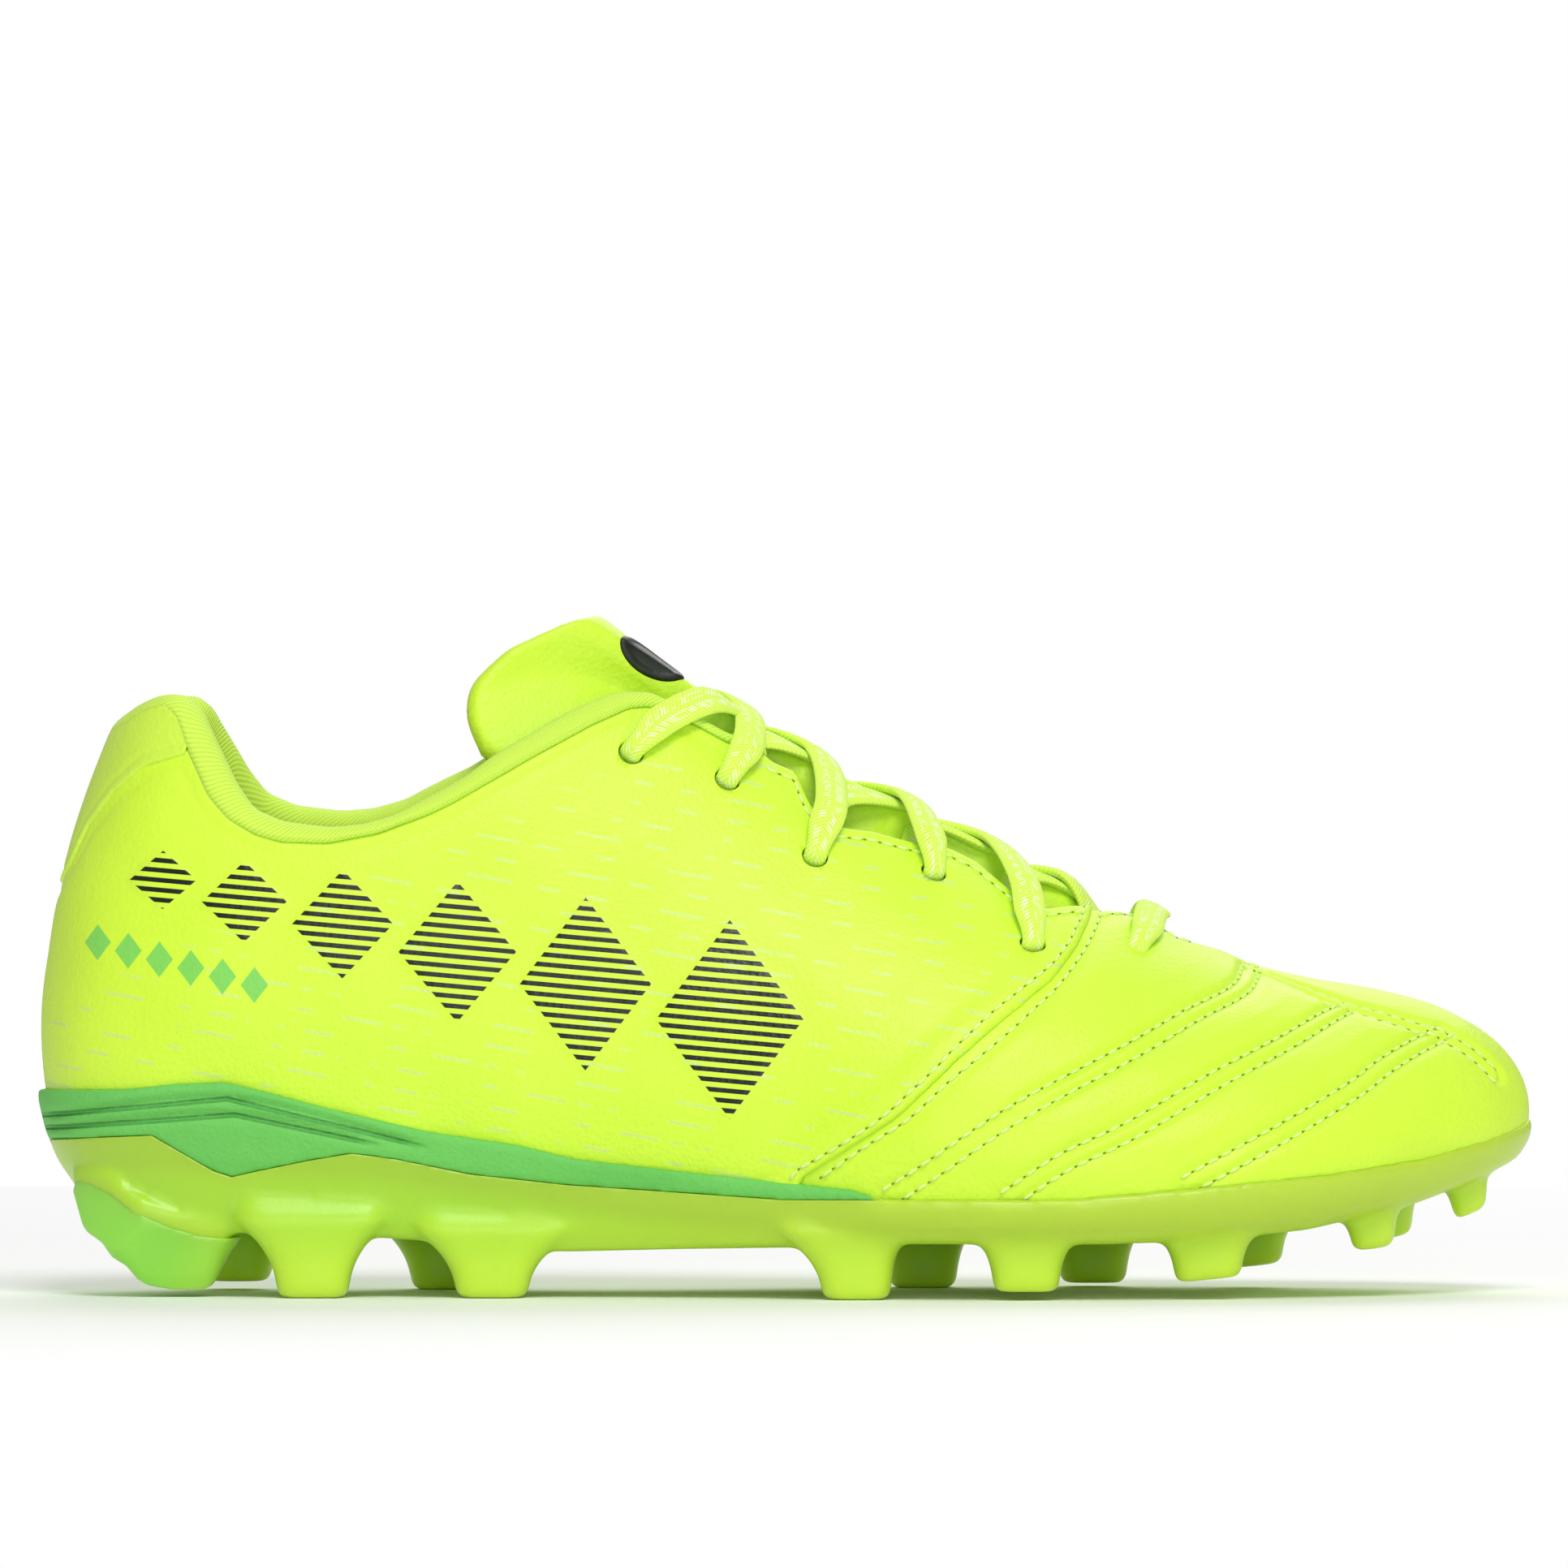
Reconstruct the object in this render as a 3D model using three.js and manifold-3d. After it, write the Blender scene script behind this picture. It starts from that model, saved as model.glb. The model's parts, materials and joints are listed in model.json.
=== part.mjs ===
// Soccer cleat for firm ground: right shoe, lateral side at -Y, toe at +X, studs on the ground at Z 0.
// Every wall of the upper is an offset of one closed last surface, cut into panels.
import * as THREE from 'three';
import { mergeVertices } from 'three/addons/utils/BufferGeometryUtils.js';
import Module from 'manifold-3d';

const wasm = await Module();
wasm.setup();

// ---------------------------------------------------------------- driving dimensions, mm
// Rows run from heel to toe. foot: x, lateral y, medial y, z of the edge where the upper meets the sole.
// belly: how far the wall swells out, and how high. top: x, lateral y, medial y, z of the ridge.
// crown: how far the ridge handle reaches out, and how far it drops.
const STATIONS = [
  { foot: [-136.5, 0, 0, 25], belly: [13, 27], top: [-112, 0, 0, 140], crown: [25, 47] },
  { foot: [-130, -18, 17.5, 25], belly: [12, 27], top: [-108, -11, 11, 140], crown: [22, 47] },
  { foot: [-112, -27, 25.5, 25], belly: [11, 27], top: [-98, -17, 17, 140], crown: [15, 47] },
  { foot: [-84, -29, 26, 24], belly: [11.5, 28], top: [-80, -19, 19, 140], crown: [10, 46] },
  { foot: [-54, -29.5, 24.5, 20.5], belly: [13, 30], top: [-56, -12, 15, 137], crown: [13, 32] },
  { foot: [-25, -32, 25, 16.5], belly: [14, 32], top: [-28, -3.5, 7.5, 124], crown: [15, 9] },
  { foot: [2, -37, 31, 14.5], belly: [15, 32], top: [0, 2.4, 3.6, 106], crown: [16, 0] },
  { foot: [29, -42.5, 39, 13.8], belly: [15.5, 28], top: [27, 3.6, 4.4, 92], crown: [16.5, 0] },
  { foot: [56, -43.5, 42.5, 13.8], belly: [15.5, 24], top: [54, 4.7, 5.3, 78.5], crown: [17, 0] },
  { foot: [82, -39.5, 40.5, 14.5], belly: [14, 21], top: [79, 5.2, 5.8, 66.5], crown: [19, 0] },
  { foot: [104, -30.5, 35.5, 16.6], belly: [12.5, 18.2], top: [99, 5.7, 6.3, 59.6], crown: [18.5, 0] },
  { foot: [122, -17, 28, 20.2], belly: [10.5, 15], top: [114, 6.2, 6.8, 56.6], crown: [16, 0] },
  { foot: [133.5, -5, 18.5, 24.2], belly: [8.5, 11.5], top: [124, 6.7, 7.3, 54], crown: [13, 0] },
  { foot: [138, 7, 7, 26.2], belly: [7.5, 9], top: [128.5, 7, 7, 51.8], crown: [10.5, 0] },
];
const GAP = 0.3;            // clearance between touching pieces
const PANEL = 1.3;          // thickness of the outer synthetic leather
const MIDDLE = [-1.6, -3.3]; // stiffeners and foam under the outer panels
const LINING = [-3.6, -4.3];
const SIDE_STEPS = 20;      // perimeter steps on each side of the shoe
const RISE_STEPS = 7;      // steps from the sole edge up to the ridge

// ---------------------------------------------------------------- small maths
const lerp = (a, b, f) => a + (b - a) * f;

function spline(rows, k) {
  const last = rows.length - 1;
  const at = Math.min(Math.max(k, 0), last);
  const i = Math.min(Math.floor(at), last - 1);
  const f = at - i;
  const p0 = rows[Math.max(i - 1, 0)];
  const p1 = rows[i];
  const p2 = rows[i + 1];
  const p3 = rows[Math.min(i + 2, last)];
  return p1.map((v, n) => 0.5 * (2 * v + (p2[n] - p0[n]) * f
    + (2 * p0[n] - 5 * v + 4 * p2[n] - p3[n]) * f * f
    + (3 * v - p0[n] - 3 * p2[n] + p3[n]) * f * f * f));
}

function sideRow(s, side) {
  const y = side < 0 ? 1 : 2;
  return [s.foot[0], s.foot[y], s.foot[3], s.belly[0], s.belly[1],
    s.top[0], s.top[y], s.top[3], s.crown[0], s.crown[1]];
}

const LAST = STATIONS.length - 1;

function ringOf(side) {
  const own = STATIONS.map((s) => sideRow(s, side));
  const other = STATIONS.map((s) => sideRow(s, -side));
  return [other[2], other[1], ...own, other[LAST - 1], other[LAST - 2]];
}

const RINGS = { '-1': ringOf(-1), 1: ringOf(1) };
const RIDGE = STATIONS.map((s) => [s.top[0], s.top[3]]);

// Point of the last surface: u 0 at the heel to 1 at the toe, t 0 at the sole edge to 1 at the ridge.
function surfacePoint(u, t, side) {
  const k = 2 + u * LAST;
  const q = spline(RINGS[side], k);
  const ahead = spline(RINGS[side], k + 1e-3);
  const behind = spline(RINGS[side], k - 1e-3);
  const turn = side > 0 ? -1 : 1;
  const out = new THREE.Vector2((ahead[1] - behind[1]) * turn, -(ahead[0] - behind[0]) * turn).normalize();
  const foot = new THREE.Vector3(q[0], q[1], q[2]);
  const top = new THREE.Vector3(q[5], q[6], q[7]);
  const belly = foot.clone().add(new THREE.Vector3(out.x * q[3], out.y * q[3], q[4]));
  const down = new THREE.Vector2(foot.x - top.x, foot.y - top.y).normalize();
  const r1 = spline(RIDGE, Math.min(u * LAST + 0.05, LAST));
  const r0 = spline(RIDGE, Math.max(u * LAST - 0.05, 0));
  const slope = top.z > 138 ? 0 : (r1[1] - r0[1]) / (r1[0] - r0[0]);
  const crown = top.clone().add(new THREE.Vector3(down.x * q[8], down.y * q[8],
    slope * down.x * q[8] - q[9]));
  const m = 1 - t;
  return foot.multiplyScalar(m * m * m)
    .addScaledVector(belly, 3 * m * m * t)
    .addScaledVector(crown, 3 * m * t * t)
    .addScaledVector(top, t * t * t);
}

function surfaceNormal(u, t, side) {
  const e = 2e-3;
  const t1 = Math.min(t + e, 1);
  const t0 = Math.max(t - e, 0);
  const along = surfacePoint(Math.min(u + e, 1), t, side).sub(surfacePoint(Math.max(u - e, 0), t, side));
  if (u < e || u > 1 - e) {
    const near = u < e ? e : 1 - e;
    along.copy(surfacePoint(near, t, side)).sub(surfacePoint(near, t, -side));
    if (u > 0.5) along.negate();
  }
  const up = surfacePoint(u, t1, side).sub(surfacePoint(u, t0, side));
  const n = along.cross(up).normalize();
  return side < 0 ? n : n.negate();
}

function offsetPoint(u, t, side, off) {
  return surfacePoint(u, t, side).addScaledVector(surfaceNormal(u, t, side), off);
}

// ---------------------------------------------------------------- solids
function geometryOf(points, faces) {
  const g = new THREE.BufferGeometry();
  g.setAttribute('position', new THREE.Float32BufferAttribute(points.flatMap((p) => [p.x, p.y, p.z]), 3));
  g.setIndex(faces.flat());
  return g;
}

function solid(geometry) {
  const g = geometry.clone();
  g.deleteAttribute('normal');
  g.deleteAttribute('uv');
  const m = mergeVertices(g, 1e-4);
  const index = m.index.array;
  const keep = [];
  for (let i = 0; i < index.length; i += 3) {
    const [a, b, c] = [index[i], index[i + 1], index[i + 2]];
    if (a !== b && b !== c && a !== c) keep.push(a, b, c);
  }
  return new wasm.Manifold(new wasm.Mesh({
    numProp: 3,
    vertProperties: new Float32Array(m.attributes.position.array),
    triVerts: new Uint32Array(keep),
  }));
}

// Closed body through rings of equal length; each ring runs the same way round, bottom ring first.
function loft(rings, cap = fanCap) {
  const n = rings[0].length;
  const points = rings.flat();
  const faces = [];
  for (let r = 0; r + 1 < rings.length; r += 1) {
    for (let i = 0; i < n; i += 1) {
      const a = r * n + i;
      const b = r * n + (i + 1) % n;
      faces.push([a, b, b + n], [a, b + n, a + n]);
    }
  }
  faces.push(...cap(n, 0).map((f) => [f[0], f[2], f[1]]));
  faces.push(...cap(n, (rings.length - 1) * n));
  return new Solid(geometryOf(points, faces));
}

function fanCap(n, start) {
  const faces = [];
  for (let i = 1; i + 1 < n; i += 1) faces.push([start, start + i, start + i + 1]);
  return faces;
}

// Cap joining each lateral point to the medial point across from it.
function stripCap(n, start) {
  const faces = [];
  for (let i = 0; i < n / 2; i += 1) {
    const a = start + i;
    const b = start + i + 1;
    const c = start + ((n - i) % n);
    const d = start + n - i - 1;
    if (i > 0) faces.push([a, d, c]);
    if (b !== d) faces.push([a, b, d]);
  }
  return faces;
}

class Solid {
  constructor(source) {
    this.body = source instanceof THREE.BufferGeometry ? solid(source) : source;
    if (this.body.volume() < 0) throw new Error('inside out');
  }
  cut(...others) { return new Solid(others.reduce((a, o) => a.subtract(o.body), this.body)); }
  join(...others) { return new Solid(others.reduce((a, o) => a.add(o.body), this.body)); }
  keep(...others) { return new Solid(others.reduce((a, o) => a.intersect(o.body), this.body)); }
  largest() {
    const pieces = this.body.decompose();
    pieces.sort((a, b) => b.volume() - a.volume());
    return new Solid(pieces[0]);
  }
  mesh(name, colour, roughness = 0.6, metalness = 0) {
    const m = this.largest().body.getMesh();
    const g = new THREE.BufferGeometry();
    g.setAttribute('position', new THREE.BufferAttribute(new Float32Array(m.vertProperties), 3));
    g.setIndex(new THREE.BufferAttribute(new Uint32Array(m.triVerts), 1));
    const mesh = new THREE.Mesh(g, new THREE.MeshStandardMaterial({ color: colour, roughness, metalness }));
    mesh.name = name;
    return mesh;
  }
}

// Perimeter stations of a ring: up the lateral side and back down the medial side.
const PERIMETER = [];
for (let i = 0; i <= SIDE_STEPS; i += 1) PERIMETER.push([i / SIDE_STEPS, -1]);
for (let i = SIDE_STEPS - 1; i > 0; i -= 1) PERIMETER.push([i / SIDE_STEPS, 1]);

// Ring of the last surface at one height t; off may vary with the point and its height.
function ring(t, off, drop = 0) {
  return PERIMETER.map(([u, side]) => {
    const base = surfacePoint(u, t, side);
    const distance = typeof off === 'function' ? off(base, t) : off;
    base.addScaledVector(surfaceNormal(u, t, side), distance);
    base.z -= drop;
    return base;
  });
}

// Whole blob bounded by the last surface moved out by off; skirt carries it straight down past the sole edge.
function blob(off, skirt = 0) {
  const rings = skirt ? [ring(0, off, skirt)] : [];
  for (let i = 0; i <= RISE_STEPS; i += 1) rings.push(ring(i / RISE_STEPS, off));
  return loft(rings, stripCap);
}

// Side-view outline [x, z] pulled straight through the shoe from y0 to y1.
function slab(outline, y0 = -80, y1 = 80) {
  const shape = new THREE.Shape(outline.map(([x, z]) => new THREE.Vector2(x, z)));
  const g = new THREE.ExtrudeGeometry(shape, { depth: y1 - y0, bevelEnabled: false });
  g.rotateX(Math.PI / 2);
  g.translate(0, y1, 0);
  return new Solid(g);
}

// Closed outline smoothed through its points.
function smooth(points, closed = false, steps = 3) {
  const curve = new THREE.CatmullRomCurve3(points.map(([x, z]) => new THREE.Vector3(x, z, 0)), closed, 'centripetal');
  return curve.getPoints(points.length * steps).map((p) => [p.x, p.y]);
}

const shell = (outer, inner) => blob(outer).cut(blob(inner, 8));

function smoothstep(a, b, v) {
  const f = Math.min(Math.max((v - a) / (b - a), 0), 1);
  return f * f * (3 - 2 * f);
}

function along(line, x) {
  for (let i = 0; i + 1 < line.length; i += 1) {
    const [x0, z0] = line[i];
    const [x1, z1] = line[i + 1];
    if (x <= x1) return lerp(z0, z1, Math.min(Math.max((x - x0) / (x1 - x0), 0), 1));
  }
  return line[line.length - 1][1];
}

// u and t of the surface point seen at x, z from the side.
function locate(x, z, side) {
  let best = [0.5, 0.5];
  let span = 0.5;
  const miss = ([u, t]) => {
    const p = surfacePoint(u, t, side);
    return (p.x - x) ** 2 + (p.z - z) ** 2;
  };
  for (let round = 0; round < 22; round += 1) {
    const [u0, t0] = best;
    for (let i = -4; i <= 4; i += 1) {
      for (let j = -4; j <= 4; j += 1) {
        const trial = [u0 + i * span / 4, t0 + j * span / 4].map((v) => Math.min(Math.max(v, 0), 1));
        if (miss(trial) < miss(best)) best = trial;
      }
    }
    span *= 0.6;
  }
  return best;
}

// ---------------------------------------------------------------- side-view lines, x and z
const COLLAR_EDGE = [[-150, 106], [-134, 108.5], [-125.7, 110.9], [-116, 112.1], [-112.4, 103.8],
  [-108.4, 95.2], [-104.6, 90.7], [-99.6, 87.6], [-94.6, 86.1], [-85.8, 85.8], [-76.4, 87.6],
  [-66.8, 91.3], [-62.4, 93.5], [-47.3, 102.4], [-36.5, 108.4], [-29.6, 111.5], [-25.7, 111.8],
  [-19.6, 109.6], [-10.9, 104.9], [-5.5, 104]];
const THROAT_EDGE = [[-2.6, 101.5], [2, 99.5], [4.6, 93.2], [8.9, 89.2], [16.5, 88.2], [25.3, 85.8],
  [31, 85], [36, 82.5], [43.6, 76.2], [49.4, 73.5], [57.4, 73.2], [63.6, 72.8], [69.9, 70.7], [74.4, 67.5],
  [77, 65.5]];
const BINDING_TOP = [[-150, 112], [-128, 113.5], [-117.8, 115.2], [-111.5, 112.7], [-107.8, 104.6],
  [-104, 97.6], [-100.3, 92.6], [-94.6, 90.1], [-85.8, 89], [-79.5, 89.5], [-73.2, 91.3], [-60.7, 98.3],
  [-54.7, 102.7], [-40.8, 111], [-32.2, 114.9], [-25.3, 115], [-19.6, 112], [-10.9, 107], [-5.5, 105.6]];
const HEEL_SEAM = [[-112.4, 103.8], [-120.3, 101.5], [-126.6, 96.4], [-131.7, 90.1], [-134.8, 83.8],
  [-139.2, 76.2], [-150, 66]];
const VAMP_SEAM = [[61, 80], [58.2, 74], [57.4, 71.3], [54.8, 66.2], [50.5, 60.5], [43.6, 55], [37.3, 49.9],
  [31.9, 45], [20.2, 34], [10.5, 27.9], [2.3, 22.6], [-8, 5]];
const SOLE_EDGE = [[-145, 39], [-123.5, 39.4], [-113.3, 40.5], [-104.6, 40.8], [-96.4, 38.8], [-85.8, 36],
  [-66.8, 31.6], [-50, 29.1], [-39, 26.5], [-14.3, 23.7], [-3.2, 22.6], [12.6, 21], [17.7, 19.4],
  [51.6, 19.4], [76.4, 21.4], [101.3, 23.7], [120, 26.6], [132.3, 30], [138.6, 32], [142, 34]];
const WEDGE_BOTTOM = [[-150, 28.6], [-131, 30], [-119, 30.6], [-114.3, 27.9], [-107.3, 23.9], [-104, 22.8],
  [-99.2, 23.9], [-89.5, 25.9], [-81.3, 27.3], [-73, 26.2], [-59.3, 23.4], [-40.8, 21.4], [-28, 20.6],
  [-0.5, 18.8], [17, 18.9]];
const PLATE_BOTTOM = [[-142, 22], [-136, 18], [-128, 14], [-118, 12.2], [-90, 12], [-65, 10.5], [-42, 8.6],
  [-20, 9.2], [0, 9.6], [20, 10.4], [60, 10.4], [80, 11], [100, 12.8], [120, 16.8], [132, 20.8], [142, 25]];
const FOOT_BED = [[-142, 25], [-112, 25], [-84, 24], [-54, 20.5], [-25, 16.5], [2, 14.5], [29, 13.8],
  [56, 13.8], [82, 14.5], [104, 16.6], [122, 20.2], [133.5, 24.2], [142, 26.6]];

const above = (line) => slab([...line, [160, line[line.length - 1][1]], [160, 220], [-160, 220],
  [-160, line[0][1]]]);
const raise = (line, dz) => line.map(([x, z]) => [x, z + dz]);
const between = (low, high) => slab([...low, ...[...high].reverse()]);

// Outline moved out by d along its vertex normals; points run clockwise.
function grown(outline, d) {
  return outline.map(([x, z], i) => {
    const [ax, az] = outline[(i + outline.length - 1) % outline.length];
    const [bx, bz] = outline[(i + 1) % outline.length];
    const n = new THREE.Vector2(az - bz, bx - ax).normalize();
    return [x + n.x * d, z + n.y * d];
  });
}

// ---------------------------------------------------------------- lacing path
const EYELETS = [[-29.1, 102.7], [-11.1, 97.5], [5.5, 83], [28, 80.2], [46.4, 66.4], [66.2, 65.5]];
const THROAT_SIDE = [[-24, 107.5], [-8, 103], [8, 92], [26, 87], [44, 77.5], [62, 73]];
const LACE_RADIUS = 1.5;
const EYELET_RADIUS = 2.9;
const UNDER_LINING = -6.8;

function at(x, z, side, off) {
  const [u, t] = locate(x, z, side);
  return offsetPoint(u, t, side, off);
}

function onRidge(x, off) {
  const top = along(RIDGE, x);
  const y = (along(STATIONS.map((s) => [s.top[0], s.top[1]]), x)
    + along(STATIONS.map((s) => [s.top[0], s.top[2]]), x)) / 2;
  return new THREE.Vector3(x + off * 0.45, y, top + off * 0.9);
}

// One crossing, from the eyelet it leaves to the eyelet it comes out of on the other side.
function crossing(from, side, over) {
  const to = from - 1;
  const [x0, z0] = EYELETS[from];
  const [x1, z1] = EYELETS[to];
  const [ex0, ez0] = THROAT_SIDE[from];
  const [ex1, ez1] = THROAT_SIDE[to];
  const middle = onRidge((ex0 + ex1) / 2, over);
  const last = to === 0
    ? [at(-20, 113.5, -side, 3.6), at(ex1, ez1, -side, 3.2), at(lerp(ex1, x1, 0.6), lerp(ez1, z1, 0.6), -side, 2.4),
      at(x1, z1, -side, 0.4), at(x1, z1, -side, -2.5), at(x1, z1, -side, -5), at(x1 - 2, z1 - 5, -side, -7),
      at(x1 - 5, z1 - 14, -side, -7.4)]
    : [at(ex1 + 2.5, ez1 + 4.2, -side, -2.6), at(ex1 + 1, ez1 + 0.4, -side, UNDER_LINING),
      at(lerp(ex1, x1, 0.55), lerp(ez1, z1, 0.55), -side, UNDER_LINING - 0.3),
      at(x1, z1, -side, -5), at(x1, z1, -side, -2), at(x1, z1, -side, 0.6)];
  const first = from === 5
    ? [at(ex0 + 1, ez0 - 2, side, UNDER_LINING - 0.4), at(ex0 - 2, ez0 + 2.2, side, -3.6)]
    : [at(lerp(x0, ex0, 0.4), lerp(z0, ez0, 0.4), side, 2.4), at(ex0, ez0, side, 3)];
  return [...first, middle, ...last];
}

function strand(side) {
  const points = [at(...EYELETS[5], side, 0.4), at(...EYELETS[5], side, -2.2), at(...EYELETS[5], side, -5.2)];
  let now = side;
  for (let i = 5; i > 0; i -= 1) {
    const overs = { '-1': 4.3, 1: 0.9 };
    points.push(...crossing(i, now, overs[now]));
    now = -now;
  }
  return points;
}

function tube(points, radius, sides = 5, spacing = 5) {
  const curve = new THREE.CatmullRomCurve3(points, false, 'centripetal');
  const count = Math.ceil(curve.getLength() / spacing);
  const frames = curve.computeFrenetFrames(count, false);
  const rings = [];
  for (let i = 0; i <= count; i += 1) {
    const p = curve.getPointAt(i / count);
    const loop = [];
    for (let k = 0; k < sides; k += 1) {
      const a = -2 * Math.PI * k / sides;
      loop.push(p.clone().addScaledVector(frames.normals[i], radius * Math.cos(a))
        .addScaledVector(frames.binormals[i], radius * Math.sin(a)));
    }
    rings.push(loop.reverse());
  }
  return loft(rings);
}

// ---------------------------------------------------------------- laced run and eyelets
function laceRun() {
  const half = (side) => tube(strand(side), LACE_RADIUS);
  const bar = tube([at(...EYELETS[5], -1, -2.2), at(...EYELETS[5], -1, 0.8), at(67.5, 67.5, -1, 2.3),
    at(68.6, 70.4, -1, 2.2), onRidge(69.5, 2.4), at(68.6, 70.4, 1, 2.2), at(67.5, 67.5, 1, 2.3),
    at(...EYELETS[5], 1, 0.8), at(...EYELETS[5], 1, -2.2)], LACE_RADIUS);
  return half(-1).join(half(1), bar);
}

function laceClearance() {
  const half = (side) => tube(strand(side), LACE_RADIUS + 0.6, 5, 5);
  return half(-1).join(half(1));
}

function eyeletHoles() {
  const holes = [];
  for (const side of [-1, 1]) {
    for (const [x, z] of EYELETS) {
      const [u, t] = locate(x, z, side);
      holes.push(tube([offsetPoint(u, t, side, -6), offsetPoint(u, t, side, 0), offsetPoint(u, t, side, 3)],
        EYELET_RADIUS, 6, 20));
    }
  }
  return holes;
}

const HOLES = eyeletHoles();
const LACE = laceRun();
const LACE_ROOM = laceClearance();

// ---------------------------------------------------------------- upper
const COLLAR_PAD = 4.2;
const pad = (p) => COLLAR_PAD * smoothstep(60, 84, p.z) * (1 - smoothstep(-64, -48, p.x));
const TOP_CUT = above([...COLLAR_EDGE, ...THROAT_EDGE]);
const HEEL_REGION = slab([...HEEL_SEAM, [-160, 66], [-160, 140], [-112, 140]]);
const VAMP_REGION = slab([...VAMP_SEAM, [160, 5], [160, 140], [64, 140]]);
const LEFT = slab([[-170, -20], [170, -20], [170, 230], [-170, 230]], -80, -GAP / 2);
const RIGHT = slab([[-170, -20], [170, -20], [170, 230], [-170, 230]], GAP / 2, 80);

const EDGE_ROOM = LACE_ROOM.keep(above(raise([...COLLAR_EDGE, ...THROAT_EDGE], -5)));
const OUTER = shell(0, -PANEL).cut(TOP_CUT, ...HOLES, EDGE_ROOM);
const MID = shell(MIDDLE[0], (p) => MIDDLE[1] - pad(p)).cut(TOP_CUT, ...HOLES, EDGE_ROOM);
const INNER = shell((p) => LINING[0] - pad(p), (p) => LINING[1] - pad(p)).cut(TOP_CUT, ...HOLES, EDGE_ROOM);

const seamGap = (line) => slab([...line, ...[...line].reverse().map(([x, z]) => [x + GAP, z - GAP])]);

const HEEL_PANEL = OUTER.keep(HEEL_REGION);
const QUARTERS = OUTER.cut(HEEL_REGION, seamGap(HEEL_SEAM), slab([...VAMP_SEAM.map(([x, z]) => [x - GAP, z]),
  [160, 5], [160, 140], [64, 140]]));
const VAMP = OUTER.keep(VAMP_REGION);

const COUNTER_LINE = [[-160, 80], [-110, 78], [-84, 60], [-66, 30], [-62, 0]];
const COUNTER_REGION = slab([[-160, 0], ...COUNTER_LINE]);
const COLLAR_REGION = slab([[-160, 80.6], [-109.5, 78.5], [-83.5, 60.6], [-60, 60], [-42, 76], [-26, 92],
  [-26, 140], [-160, 140]]);
const EYESTAY_OUTLINE = [[84, 140], [84, 56], [70, 54], [58, 50], [46, 50], [20, 62], [-5, 76], [-25.6, 90],
  [-25.6, 140]];
const EYESTAY_REGION = slab(EYESTAY_OUTLINE);
const VAMP_FOAM_REGION = slab([...VAMP_SEAM, [112, 5], [112, 140], [64, 140]]);
const PUFF_REGION = slab([[112.4, 0], [160, 0], [160, 90], [112.4, 90]]);
const QUARTER_LINING_REGION = slab([[-160, 0], [26, 0], [44, 40], [58, 60], [62, 140], [-160, 140]]);
const VAMP_LINING_REGION = slab([[26.4, 0], [44.4, 40], [58.4, 60], [62.4, 140], [160, 140], [160, 0]]);

// ---------------------------------------------------------------- tongue
const TONGUE_OUTLINE = [[80, 46], [80, 90], [-20, 140], [-36.5, 140], [-37, 127.5], [-40.8, 127.2], [-50, 123.8],
  [-56.2, 118.7], [-57.8, 116.4], [-58.5, 112.6], [-58, 110], [-55, 103], [-46, 97], [-30, 90], [-10, 80],
  [12, 70], [30, 63], [48, 54], [62, 46]];
const TONGUE_REGION = slab(TONGUE_OUTLINE);
// Height t at which the tongue starts to swell up between the two throat edges.
const SWELL_START = [[-60, 0.8], [-30, 0.89], [-12, 0.91], [-5, 0.95], [8, 0.8], [20, 0.83], [29, 0.93], [38, 0.92], [46, 0.82],
  [56, 0.86], [64, 0.97]];

function tongueTop(p, t) {
  const start = along(SWELL_START, p.x);
  return -8.6 + smoothstep(start, start + 0.15, t) * lerp(6.2, 3.5, smoothstep(54, 68, p.x));
}
const tongueLayer = (high, low) => blob((p, t) => tongueTop(p, t) - high)
  .cut(blob((p, t) => tongueTop(p, t) - low, 8)).keep(TONGUE_REGION);

// ---------------------------------------------------------------- bottom unit
const PLATE_RING = [[0.5, 0.5], [0.12, 3], [0, 5.5]];

function soleRing(place) {
  return PERIMETER.map(([u, side]) => {
    const base = surfacePoint(u, 0, side);
    const out = surfacePoint(u, 0.02, side).sub(base).setZ(0).normalize();
    return place(base, out, u, side);
  });
}

function topOfWall(u, side) {
  let t0 = 0;
  let t1 = 0.35;
  for (let i = 0; i < 24; i += 1) {
    const t = (t0 + t1) / 2;
    const p = surfacePoint(u, t, side);
    if (p.z < along(SOLE_EDGE, p.x)) t0 = t;
    else t1 = t;
  }
  return t0;
}

function soleBlock(grow = 0) {
  const rings = PLATE_RING.map(([level, inset]) => soleRing((base, out) => {
    const floor = along(PLATE_BOTTOM, base.x);
    return new THREE.Vector3(base.x, base.y, lerp(floor, base.z, level) - grow).addScaledVector(out, grow - inset);
  })).reverse();
  for (const [share, off] of [[0, 1.6], [0.5, 1.9], [1, 1.5]]) {
    rings.push(soleRing((base, out, u, side) => {
      const p = offsetPoint(u, Math.max(topOfWall(u, side) * share, 0.004), side, off + grow);
      return p;
    }));
  }
  return loft(rings, stripCap);
}

// Rounded-rectangle ring at height z between x0..x1 and y0..y1.
function roundedRing(z, x0, x1, y0, y1, shear = 0) {
  const r = Math.min(x1 - x0, y1 - y0) * 0.3;
  const points = [];
  const corners = [[x1 - r, y1 - r, 0], [x0 + r, y1 - r, 90], [x0 + r, y0 + r, 180], [x1 - r, y0 + r, 270]];
  for (const [cx, cy, start] of corners) {
    for (const a of [10, 80]) {
      const angle = (start + a) * Math.PI / 180;
      const x = cx + r * Math.cos(angle);
      points.push(new THREE.Vector3(x, cy + r * Math.sin(angle), z + (x - x0) * shear));
    }
  }
  return points;
}

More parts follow.
